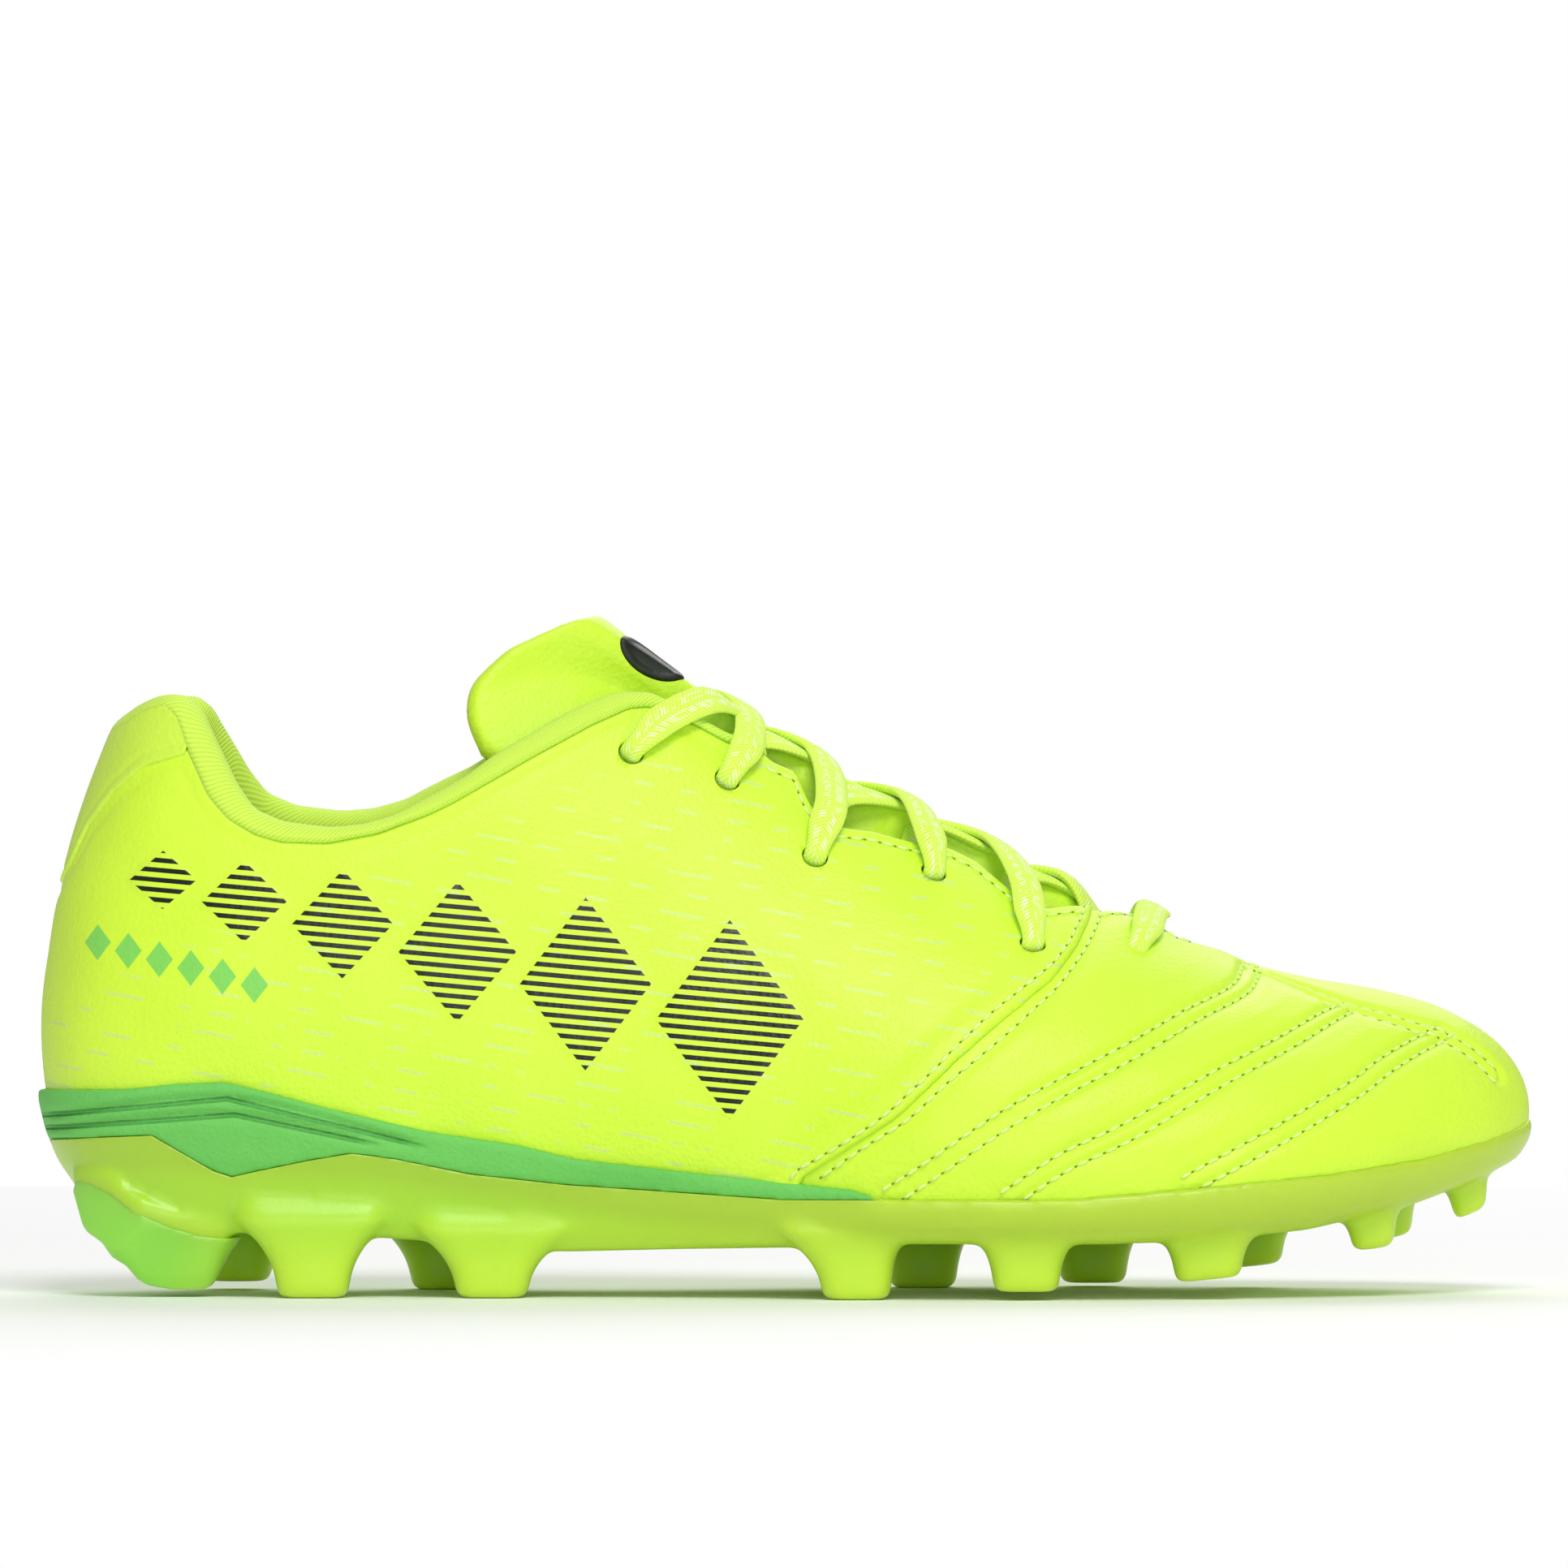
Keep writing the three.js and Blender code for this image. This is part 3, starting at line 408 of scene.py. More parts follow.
def leather(name, base, shade, printed=False):
    n = Nodes(name)
    tone = n.ramp(n.noise(38.0, 3.0), 0.3, 0.72)
    colour = n.mix(tone, srgb(base), srgb(shade))
    pits = n.ramp(n.cells(1.05), 0.0, 0.22)
    colour = n.mix(n.math("MULTIPLY", n.math("SUBTRACT", 1.0, pits), 0.14), colour, srgb("#a9c52c"))
    roughness = n.ramp(n.noise(5.0, 4.0), -0.6, 2.2)
    roughness = n.math("ADD", n.math("MULTIPLY", roughness, 0.22), 0.36)
    if printed:
        x, _, z = n.axes()
        colour = pale_dashes(n, colour, x, z)
        printed_area = diamond_mask(n, x, z, DIAMONDS)
        fall = n.math("ADD", z, n.math("MULTIPLY", x, 0.09))
        phase = n.math("FRACT", n.math("DIVIDE", fall, HATCH_PITCH))
        wave = n.math("ABSOLUTE", n.math("SUBTRACT", phase, 0.5))
        lines = n.math("MULTIPLY", n.ramp(wave, 0.27, 0.22), printed_area)
        colour = n.mix(lines, colour, srgb("#10170a"))
        labels = diamond_mask(n, x, z, SMALL_DIAMONDS)
        colour = n.mix(n.math("MULTIPLY", labels, 0.9), colour, srgb("#74d35c"))
        roughness = n.math("SUBTRACT", roughness, n.math("MULTIPLY", lines, 0.08))
    return n.finish(colour, roughness, grain(n), Specular_IOR_Level=0.42, Sheen_Weight=0.04)


def diamond_mask(n, x, z, rows):
    """1 inside any of the diamonds in rows, with a soft edge of about a tenth of a millimetre."""
    total = None
    for cx, cz, half_height, half_width in rows:
        up = n.math("DIVIDE", n.math("ABSOLUTE", n.math("SUBTRACT", z, cz)), half_height)
        across = n.math("DIVIDE", n.math("ABSOLUTE", n.math("SUBTRACT", x, cx)), half_width)
        soft = 0.1 / half_width
        mask = n.ramp(n.math("ADD", up, across), 1 + soft, 1 - soft)
        total = mask if total is None else n.math("MAXIMUM", total, mask)
    return total


def pale_dashes(n, colour, x, z):
    """Faint printed dashes in falling rows."""
    fall = n.math("ADD", z, n.math("MULTIPLY", x, 0.19))
    row = n.math("DIVIDE", fall, 3.9)
    phase = n.math("ABSOLUTE", n.math("SUBTRACT", n.math("FRACT", row), 0.5))
    thin = n.ramp(phase, 0.085, 0.05)
    shift = n.math("MULTIPLY", n.math("FLOOR", row), 17.3)
    key = n.add("ShaderNodeCombineXYZ", {0: n.math("DIVIDE", n.math("ADD", x, shift), 9.0), 1: 0.0, 2: 0.0})
    gaps = n.add("ShaderNodeTexNoise", {"Vector": key.outputs[0], "Scale": 1.0, "Detail": 1.0}).outputs["Fac"]
    dash = n.math("MULTIPLY", thin, n.ramp(gaps, 0.5, 0.54))
    ceiling = n.math("ADD", n.math("MULTIPLY", n.math("ADD", x, 110.0), 0.42), 66.0)
    dash = n.math("MULTIPLY", dash, n.ramp(n.math("SUBTRACT", z, ceiling), 3.0, -3.0))
    return n.mix(n.math("MULTIPLY", dash, 0.42), colour, srgb("#c9d6b4"))


def woven_uv(n):
    """UV in millimetres: along and across the piece."""
    split = n.add("ShaderNodeSeparateXYZ", {0: n.add("ShaderNodeUVMap", uv_map="UVMap").outputs[0]})
    return split.outputs[0], split.outputs[1]


def twill():
    """Woven edge tape: fine diagonal ribs, 0.95 mm apart."""
    n = Nodes("binding_twill")
    along, across = woven_uv(n)
    diagonal = n.math("ADD", along, n.math("MULTIPLY", across, 0.9))
    rib = n.math("ABSOLUTE", n.math("SUBTRACT", n.math("FRACT", n.math("DIVIDE", diagonal, 0.95)), 0.5))
    thread = n.math("ABSOLUTE", n.math("SUBTRACT", n.math("FRACT", n.math("DIVIDE", across, 0.36)), 0.5))
    height = n.math("ADD", n.math("MULTIPLY", rib, 1.5), n.math("MULTIPLY", thread, 0.4))
    colour = n.mix(n.ramp(rib, 0.06, 0.3), srgb("#c6ec4a"), srgb("#dcff5e"))
    colour = n.mix(n.math("MULTIPLY", n.noise(14.0), 0.25), colour, srgb("#c6f052"))
    return n.finish(colour, 0.8, n.bump(height, 0.13), Sheen_Weight=0.12, Specular_IOR_Level=0.25)


def braid():
    """Flat braided lace: fine chevron strands with pale flecks; UV along, across in millimetres."""
    n = Nodes("lace_braid")
    along, across = woven_uv(n)
    centred = n.math("ABSOLUTE", across)
    slant = n.math("ADD", along, n.math("MULTIPLY", centred, 0.75))
    strand = n.math("ABSOLUTE", n.math("SUBTRACT", n.math("FRACT", n.math("DIVIDE", slant, 0.86)), 0.5))
    lane = n.math("ABSOLUTE", n.math("SUBTRACT", n.math("FRACT", n.math("DIVIDE", across, 0.78)), 0.5))
    height = n.math("ADD", n.math("MULTIPLY", strand, 1.2), lane)
    colour = n.mix(n.ramp(strand, 0.03, 0.26), srgb("#cdf24e"), srgb("#e2ff62"))
    cell = n.add("ShaderNodeCombineXYZ", {0: n.math("FLOOR", n.math("DIVIDE", slant, 0.86)),
                                          1: n.math("FLOOR", n.math("DIVIDE", across, 0.78)), 2: 3.0})
    pick = n.add("ShaderNodeTexWhiteNoise", {"Vector": cell.outputs[0]}, noise_dimensions="3D").outputs["Value"]
    lanes = n.ramp(n.math("ABSOLUTE", n.math("SUBTRACT", centred, 1.15)), 0.75, 0.6)
    fleck = n.math("MULTIPLY", n.math("MULTIPLY", n.ramp(pick, 0.58, 0.62), n.ramp(strand, 0.1, 0.26)), lanes)
    colour = n.mix(n.math("MULTIPLY", fleck, 0.8), colour, srgb("#f6fae4"))
    return n.finish(colour, 0.78, n.bump(height, 0.09), Sheen_Weight=0.15, Specular_IOR_Level=0.25)


def knit(name, base, shade, scale=1.3):
    n = Nodes(name)
    x, y, z = n.axes()
    column = n.math("ABSOLUTE", n.math("SUBTRACT", n.math("FRACT", n.math("DIVIDE", n.math("ADD", x, y), scale)), 0.5))
    row = n.math("ABSOLUTE", n.math("SUBTRACT", n.math("FRACT", n.math("DIVIDE", n.math("ADD", z, y), scale * 0.8)),
                                    0.5))
    height = n.math("ADD", column, row)
    fuzz = n.noise(0.5, 3.0)
    colour = n.mix(n.ramp(height, 0.2, 0.8), srgb(shade), srgb(base))
    colour = n.mix(n.math("MULTIPLY", fuzz, 0.2), colour, srgb(shade))
    return n.finish(colour, 0.92, n.bump(n.math("ADD", height, n.math("MULTIPLY", fuzz, 0.6)), 0.2),
                    Sheen_Weight=0.25, Specular_IOR_Level=0.2)


def moulded(name, base, deep, roughness=0.34, depth=30.0, glow=0.25):
    """Slightly see-through moulded plastic with faint flow marks."""
    n = Nodes(name)
    flow = n.ramp(n.noise(depth, 4.0), 0.25, 0.75)
    colour = n.mix(flow, srgb(base), srgb(deep))
    frost = n.noise(0.6, 2.0)
    rough = n.math("ADD", n.math("MULTIPLY", n.noise(12.0, 3.0), 0.12), roughness - 0.06)
    return n.finish(colour, rough, n.bump(frost, 0.03), Subsurface_Weight=glow, Subsurface_Scale=0.006,
                    Specular_IOR_Level=0.5, Subsurface_Radius=(1.0, 1.0, 0.3))


def foam(name, base, shade):
    n = Nodes(name)
    skin = n.cells(0.9)
    colour = n.mix(n.ramp(n.noise(22.0, 4.0), 0.3, 0.7), srgb(base), srgb(shade))
    colour = n.mix(n.math("MULTIPLY", n.ramp(skin, 0.0, 0.4), 0.12), colour, srgb(shade))
    height = n.math("ADD", skin, n.noise(0.5, 2.0))
    return n.finish(colour, 0.68, n.bump(height, 0.09), Specular_IOR_Level=0.3)


WEDGE_LINES = [(-104.6, 37.5, 0.0959, -0.2435, -66), (-103.2, 34.5, 0.0771, -0.209, -75)]


def wedge_foam():
    """Moulded foam with fine pebbled skin and two crisp grooves that rise and fall along the side; the grooves are
    also painted darker, painted shade in the grooves.
    """
    n = Nodes("midsole_eva")
    x, _, z = n.axes()
    skin = n.cells(0.95)
    colour = n.mix(n.ramp(n.noise(22.0, 4.0), 0.3, 0.7), srgb("#76d062"), srgb("#6ac459"))
    colour = n.mix(n.math("MULTIPLY", n.ramp(skin, 0.0, 0.4), 0.12), colour, srgb("#6cc660"))
    total = 0.0
    for peak_x, peak_z, rise, fall, end in WEDGE_LINES:
        run = n.math("SUBTRACT", x, peak_x)
        edge = n.math("ADD", n.math("MINIMUM", n.math("MULTIPLY", run, rise), n.math("MULTIPLY", run, fall)), peak_z)
        near = n.ramp(n.math("ABSOLUTE", n.math("SUBTRACT", z, edge)), 0.55, 0.12)
        line_ = n.math("MULTIPLY", near, n.ramp(x, end, end - 6))
        total = n.math("MAXIMUM", line_, total)
    # Groove lines painted darker: painted shade in the grooves; the same mask also drives the groove bump below.
    colour = n.mix(n.math("MULTIPLY", total, 0.5), colour, srgb("#3c9b46"))
    first = n.bump(n.math("ADD", skin, n.noise(0.5, 2.0)), 0.1)
    return n.finish(colour, 0.66, n.bump(n.math("MULTIPLY", total, -1.0), 0.6, first), Specular_IOR_Level=0.3)


def sole_plastic():
    """Clear-tinted moulded sole: greener in the thick side wall, pale in the forefoot; the studs are painted lighter
    and yellower, painted light standing in for light reaching them under the sole.
    """
    n = Nodes("outsole_tpu")
    x, _, z = n.axes()
    flow = n.ramp(n.noise(26.0, 4.0), 0.25, 0.75)
    # Studs painted lighter and yellower than the side wall: painted light for the studs that sit in shade under the
    # sole.
    stud_painted_light = n.ramp(z, 17.0, 6.0)
    side_wall = n.mix(n.ramp(x, -60.0, 30.0), srgb("#b0e23c"), srgb("#c0e63e"))
    colour = n.mix(stud_painted_light, side_wall, srgb("#c9ee3a"))
    colour = n.mix(n.math("MULTIPLY", flow, 0.35), colour, srgb("#b9e03a"))
    heel = n.math("MULTIPLY", n.ramp(x, -112.0, -126.0), n.ramp(z, 20.0, 10.0))
    colour = n.mix(n.math("MULTIPLY", heel, 0.5), colour, srgb("#a4e04a"))
    rough = n.math("ADD", n.math("MULTIPLY", n.noise(12.0, 3.0), 0.12), 0.3)
    return n.finish(colour, rough, n.bump(n.noise(0.6, 2.0), 0.03), Subsurface_Weight=0.45, Subsurface_Scale=0.009,
                    Specular_IOR_Level=0.5, Subsurface_Radius=(1.0, 1.0, 0.25))


def corner_plastic():
    """Green moulded heel stud that runs to yellow where it meets the sole."""
    n = Nodes("corner_tpu")
    x, _, z = n.axes()
    share = n.ramp(n.math("ADD", x, n.math("MULTIPLY", z, -0.6)), -122.0, -106.0)
    colour = n.mix(share, srgb("#97e04c"), srgb("#b6e544"))
    colour = n.mix(n.math("MULTIPLY", n.noise(10.0, 3.0), 0.3), colour, srgb("#8fdb4e"))
    return n.finish(colour, 0.36, n.bump(n.noise(0.8, 2.0), 0.04), Subsurface_Weight=0.4, Subsurface_Scale=0.008,
                    Subsurface_Radius=(1.0, 1.0, 0.3))


def thread_material():
    n = Nodes("sewing_thread")
    ply = n.noise(0.25, 2.0)
    colour = n.mix(n.ramp(ply, 0.35, 0.65), srgb("#cdec62"), srgb("#efffa6"))
    return n.finish(colour, 0.6, n.bump(ply, 0.05), Sheen_Weight=0.2)


def dark_print():
    n = Nodes("dark_print")
    colour = n.mix(n.ramp(n.noise(2.0, 3.0), 0.35, 0.7), srgb("#0b1206"), srgb("#1a2412"))
    return n.finish(colour, 0.42, n.bump(n.noise(0.5), 0.04))


UPPER = leather("upper_leather", "#d8fd40", "#d1f638", printed=True)
VAMP_SKIN = leather("vamp_leather", "#d8fd40", "#d1f638")
TONGUE_SKIN = leather("tongue_leather", "#d6fc3c", "#cff436")
HEEL_SKIN = leather("heel_leather", "#d8fb50", "#cef248")
BINDING = twill()
LACE = braid()
LINING = knit("lining_knit", "#9ecb3c", "#7da82a")
SOCK_CLOTH = knit("sock_cloth", "#a9d048", "#86ad30", 1.0)
THREAD = thread_material()
OUTSOLE_TPU = sole_plastic()
CORNER_TPU = corner_plastic()
EVA = wedge_foam()
PALE_FOAM = foam("pale_foam", "#dfe3cf", "#cfd6b8")
PRINT = dark_print()
# Dark needle-mark colour: painted shade in the needle holes between the stitches.
NEEDLE_HOLE_SHADE = foam("needle_hole_shade", "#7f9d26", "#6d8a1e")


# ---------------------------------------------------------------- panels of the upper
PANEL = 1.2
LINING_IN = -4.3
LINING_OUT = -1.5
DENSE = np.linspace(0, 1, 701)
SIDES = ((-1, "lateral"), (1, "medial"))


def pad_depth(p):
    """Extra depth of the padded collar at each point."""
    return 4.2 * smoothstep(60, 84, p[..., 2]) * (1 - smoothstep(-64, -48, p[..., 0]))


def sheet(u, t, side):
    """Grid of surface points and their normals."""
    return surface(u, t, side), normals(u, t, side)


def seam_end(share, side, top):
    """u where a row of the quarter meets the vamp seam."""
    ends = []
    us = np.linspace(0.4, 0.9, 500)
    for r in share:
        t = r * np.interp(us, DENSE, top)
        p = surface(us, t, side)
        past = (p[:, 0] > 2.3) & (p[:, 2] < SEAM_Z(p[:, 0]))
        past |= p[:, 0] > 59
        i = int(np.argmax(past)) if past.any() else len(us) - 1
        ends.append(us[i])
    ends = np.array(ends)
    kernel = np.ones(5) / 5
    return np.convolve(np.pad(ends, 2, mode="edge"), kernel, mode="valid")


def edge_line(points, side, off=0.0, spacing=0.8):
    """Smooth line over the surface through side-view points."""
    return curve_through([at(x, z, side, off) for x, z in points], spacing)


def sew_grid(skin, n, distance, keep=None, lift=-0.1):
    """Row of stitches at one distance in from the first column of a grid."""
    points, ways = [], []
    for row, way, reach in zip(skin, n, np.broadcast_to(distance, len(skin))):
        s = path_length(row)
        points.append([np.interp(reach, s, row[:, k]) for k in range(3)])
        ways.append([np.interp(reach, s, way[:, k]) for k in range(3)])
    points, ways = np.array(points), np.array(ways)
    if keep is not None:
        ok = keep(points)
        points, ways = points[ok], ways[ok]
    both = resample(np.column_stack([points, ways]), 0.5)
    both = both[:, :3], unit(both[:, 3:])
    s = path_length(both[0])
    count = max(int(s[-1] / STITCH_STEP), 2)
    want = np.linspace(0, s[-1], count + 1)
    row = np.stack([np.interp(want, s, both[0][:, k]) for k in range(3)], 1)
    out = np.stack([np.interp(want, s, both[1][:, k]) for k in range(3)], 1)
    ROWS["shoe"].append((row + out * lift, unit(np.gradient(row, axis=0)), out))


def far_collar(side):
    """Extra height of the collar edge on the inner side of the ankle."""
    return (lambda x: 3.6 * smoothstep(-120, -100, x) * (1 - smoothstep(-72, -34, x)) * (side > 0))


def raised(edge, side):
    more = far_collar(side)
    return lambda x: edge(x) + more(x)


def print_height(p):
    """Raised face of the printed diamonds."""
    height = np.zeros(p.shape[:-1])
    for cx, cz, half_height, half_width in DIAMONDS:
        share = np.abs(p[..., 2] - cz) / half_height + np.abs(p[..., 0] - cx) / half_width
        d = (1 - share) * min(half_height, half_width) * 0.7
        height = np.maximum(height, 0.35 * smoothstep(-0.5, 0.3, d))
    return height


def soft_dents(p, size, depth, seed):
    """Slow rise and fall of soft material, from a few fixed sine waves."""
    rng = np.random.default_rng(seed)
    total = np.zeros(p.shape[:-1])
    for _ in range(7):
        d = rng.normal(size=3)
        d /= np.linalg.norm(d)
        total += np.sin(p @ d * (2 * math.pi / size) * rng.uniform(0.7, 1.5) + rng.uniform(0, 6.28))
    return total * depth / 7


STITCH_STEP = 1.5
ROWS = {"shoe": [], "tongue": []}
SOLE_TOP = line(SOLE_EDGE)
TOPS = {side: rise_to(DENSE, side, raised(QUARTER_TOP, side)) for side in (-1, 1)}
COLLAR_RISE = {side: rise_to(DENSE, side, raised(COLLAR_LINE, side)) for side in (-1, 1)}
BINDING_TOP = line([[-150, 107.6], [-130, 109.2], [-126, 111.2], [-122, 113.6], [-118.5, 114.6], [-114.5, 114.4],
                    [-111.5, 111.4], [-107.8, 104.6],
                    [-104, 97.6], [-100.3, 92.6], [-94.6, 90.1], [-85.8, 89], [-79.5, 89.5], [-73.2, 91.3],
                    [-60.7, 98.3], [-54.7, 102.7], [-40.8, 111], [-32.2, 114.9], [-25.3, 115],
                    [-19.6, 112], [-10.9, 107], [-5.5, 105.6], [0, 103]])
EYELETS = [[-29.1, 102.7], [-11.1, 97.5], [5.5, 83], [28, 80.2], [46.4, 66.4], [66.2, 65.5]]


def quarter(side, name):
    rows = np.linspace(0, 1, 92)
    ends = seam_end(rows, side, TOPS[side])
    columns = np.linspace(0, 1, 250)
    u = columns[None, :] * ends[:, None]
    t = rows[:, None] * np.interp(u, DENSE, TOPS[side])
    p, n = sheet(u, t, side)
    seam = p[:, -1]
    top = p[-1]
    flat = p.reshape(-1, 3)
    from_seam = distance_to(flat, seam).reshape(p.shape[:2])
    from_top = distance_to(flat, top).reshape(p.shape[:2])
    lift = 1.05 * (1 - smoothstep(2.5, 9, from_seam))
    high = lift + print_height(p) + soft_dents(p, 26, 0.45, 3 + side) * smoothstep(0, 8, np.minimum(from_seam, from_top))
    high -= edge_round(np.minimum(from_seam, from_top), 0.75)
    high -= 0.22 * np.exp(-((from_top - 3.2) / 0.9) ** 2) + 0.18 * np.exp(-((from_seam - 2.4) / 0.8) ** 2)
    low = lift - PANEL
    faces = grid_faces(*u.shape, flip=side > 0)
    verts, all_faces = close_shell((p + n * high[..., None]).reshape(-1, 3),
                                   (p + n * low[..., None]).reshape(-1, 3), faces)
    obj = new_object("quarter_" + name, verts, all_faces, material=UPPER)
    skin = p + n * high[..., None]
    sew_grid(skin[::-1, ::-1], n[::-1, ::-1], 2.5, keep=lambda q: q[:, 2] > SOLE_TOP(q[:, 0]) + 1)
    front = (p[-1][:, 0] > -3) & (p[-1][:, 0] < 56)
    sew_grid(np.swapaxes(skin[::-1, front], 0, 1), np.swapaxes(n[::-1, front], 0, 1), 3.4)
    return obj, seam + n[:, -1] * 1.0, top


QUILT = [[[19.6, 19.7], [51.6, 40.2], [64.1, 46.7], [76.4, 53.6], [86.4, 58.8], [88.5, 60.8]],
         [[41.6, 19.3], [51.6, 25.9], [64.1, 32], [82.7, 42.7], [95, 49], [105.6, 54.6]],
         [[75.2, 21.9], [82.7, 25.9], [95, 32.6], [107.5, 39.9], [113.7, 44.3], [124.9, 50]]]
STITCH_ROW = 1.7


CENTRE_SEWN = [[88.5, 62], [107.8, 54.8], [126.3, 48.8], [135, 42]]


def quilt_lines():
    """The fanned lines of both sides and the long one they meet, which lies just outside the ridge."""
    lines = [edge_line(row, side) for side in (-1, 1) for row in QUILT]
    return lines + [edge_line(CENTRE_SEWN, -1)]


QUILT_LINES = quilt_lines()


def softened(values, half):
    """Running mean over a window of 2 * half + 1 samples."""
    size = 2 * half + 1
    return np.convolve(np.pad(values, half, mode="edge"), np.ones(size) / size, mode="valid")


def vamp():
    """Quilted forefoot: one shell over both sides, joined along the ridge and at the toe."""
    rows = np.linspace(0, 1, 96)
    columns = np.linspace(0, 1, 190)
    tops = {side: softened(rise_to(DENSE, side, line(THROAT)), 7) for side, _ in SIDES}
    ends = {side: seam_end(rows, side, TOPS[side]) for side, _ in SIDES}
    start_u = np.minimum(ends[-1], ends[1]) - 0.011
    outer, inner, faces, start = [], [], [], 0
    for side, _ in SIDES:
        top = tops[side]
        u = start_u[:, None] + columns[None, :] * (1 - start_u[:, None])
        t = rows[:, None] * np.interp(u, DENSE, top)
        p, n = sheet(u, t, side)
        flat = p.reshape(-1, 3)
        d = np.full(len(flat), 30.0)
        for path in QUILT_LINES:
            d = np.minimum(d, distance_to(flat, path))
        d = d.reshape(p.shape[:2])
        seam_u = ends[side]
        seam = np.stack([np.array([np.interp(seam_u[i], u[i], p[i, :, k]) for k in range(3)])
                         for i in range(len(rows))])
        from_seam = distance_to(flat, seam).reshape(p.shape[:2])
        from_seam = np.where(u < seam_u[:, None], -from_seam, from_seam)
        is_open = np.interp(u[-1], DENSE, top) < 0.995
        from_top = distance_to(flat, p[-1][is_open]).reshape(p.shape[:2])
        calm = smoothstep(1, 7, from_seam) * smoothstep(0, 5, from_top) * smoothstep(0, 9, p[..., 2] - 22)
        groove = 0.95 * np.exp(-((np.abs(d) - STITCH_ROW) / 1.0) ** 2) * smoothstep(0, 3, from_top)
        puff = 0.95 * (1 - np.exp(-(np.maximum(d - 1, 0) / 8) ** 2)) * calm
        high = puff - groove * (0.5 + 0.5 * calm) + soft_dents(p, 17, 0.3, 9) * calm
        high -= 0.3 * (1 - smoothstep(-1, 1.5, from_seam)) + edge_round(from_top, 0.75)
        high -= 0.25 * np.exp(-((from_seam - 2.6) / 0.9) ** 2)
        outer.append((p + n * high[..., None]).reshape(-1, 3))
        inner.append((p + n * (np.minimum(high, 0) - PANEL)[..., None]).reshape(-1, 3))
        skin = p + n * high[..., None]
        overlap = [np.interp(seam_u[i], u[i], path_length(p[i])) + 2.6 for i in range(len(rows))]
        sew_grid(skin[::-1], n[::-1], np.array(overlap)[::-1],
                 keep=lambda q: (q[:, 2] > SOLE_TOP(q[:, 0]) + 1) & (q[:, 0] < 61))
        slot = (u[-1] > seam_u[-1] + 0.008) & (p[-1][:, 0] < 77) & is_open
        sew_grid(np.swapaxes(skin[::-1, slot], 0, 1), np.swapaxes(n[::-1, slot], 0, 1), 3.2)
        faces.append(grid_faces(*u.shape, start=start, flip=side > 0))
        start += len(flat)
    outer, inner = np.concatenate(outer), np.concatenate(inner)
    verts, all_faces = join_sides(outer, inner, np.concatenate(faces), 1.7)
    return new_object("vamp_shell", verts, all_faces, material=VAMP_SKIN)


def join_sides(outer, inner, faces, near=1.7):
    """Weld the two halves of a shell where their rims meet, then close it."""
    half = len(outer) // 2
    rim = rim_points(faces)
    left = np.array([i for i in rim if i < half])
    right = np.array([i for i in rim if i >= half])
    target = np.arange(len(outer))
    on_left_rim = set(left.tolist())
    for i in right:
        partner = int(i) - half
        if partner not in on_left_rim or np.linalg.norm(outer[partner] - outer[i]) > near:
            gap = np.linalg.norm(outer[left] - outer[i], axis=1)
            partner = int(left[int(np.argmin(gap))])
            if gap.min() > near:
                continue
        target[i] = partner
        outer[partner] = (outer[i] + outer[partner]) / 2
        inner[partner] = (inner[i] + inner[partner]) / 2
    used = np.unique(target)
    index = np.zeros(len(outer), int)
    index[used] = np.arange(len(used))
    joined = []
    for f in faces:
        g = [int(index[target[i]]) for i in f]
        g = [v for i, v in enumerate(g) if v != g[i - 1]]
        if len(g) > 2:
            joined.append(tuple(g))
    return close_shell(outer[used], inner[used], joined)


def rim_points(faces):
    seen = set()
    for f in faces:
        for a, b in zip(f, np.roll(f, -1)):
            seen.add((int(a), int(b)))
    return sorted({v for a, b in seen if (b, a) not in seen for v in (a, b)})


def heel_patch():
    """Smooth patch over the heel, from its seam up to the collar, round both sides."""
    low = line(HEEL_SEAM[:] + [[-112.3, 104]])
    rows = np.linspace(0, 1, 60)
    outer, inner, faces, seams, start = [], [], [], [], 0
    for side, _ in SIDES:
        bottom = rise_to(DENSE, side, low)
        top = COLLAR_RISE[side]
        us = np.linspace(0, 0.3, 400)
        open_ = (np.interp(us, DENSE, top) - np.interp(us, DENSE, bottom)) > 0.004
        end = us[open_][-1] if open_.any() else 0.1
        columns = np.linspace(0, end, 70)
        u = np.broadcast_to(columns[None, :], (len(rows), len(columns)))
        b, a = np.interp(columns, DENSE, bottom), np.interp(columns, DENSE, top)
        extra = 0.012 * (1 - rows[:, None])
        t = b[None, :] - extra + rows[:, None] * (a - b)[None, :]
        p, n = sheet(u, t, side)
        from_seam = distance_to(p.reshape(-1, 3), p[0]).reshape(p.shape[:2])
        high = 0.6 + 0.25 * smoothstep(3, 12, from_seam) - edge_round(from_seam, 0.7)
        high -= 0.22 * np.exp(-((from_seam - 2.4) / 0.8) ** 2)
        low_off = np.maximum(high - PANEL, -PANEL)
        low_off = np.where(from_seam < 2, np.maximum(low_off, -0.35), low_off)
        outer.append((p + n * high[..., None]).reshape(-1, 3))
        inner.append((p + n * low_off[..., None]).reshape(-1, 3))
        faces.append(grid_faces(*u.shape, start=start, flip=side > 0))
        seams.append(p[0] + n[0] * 0.9)
        start += u.size
    verts, all_faces = join_sides(np.concatenate(outer), np.concatenate(inner), np.concatenate(faces))
    obj = new_object("heel_patch", verts, all_faces, material=HEEL_SKIN)
    return obj, seams


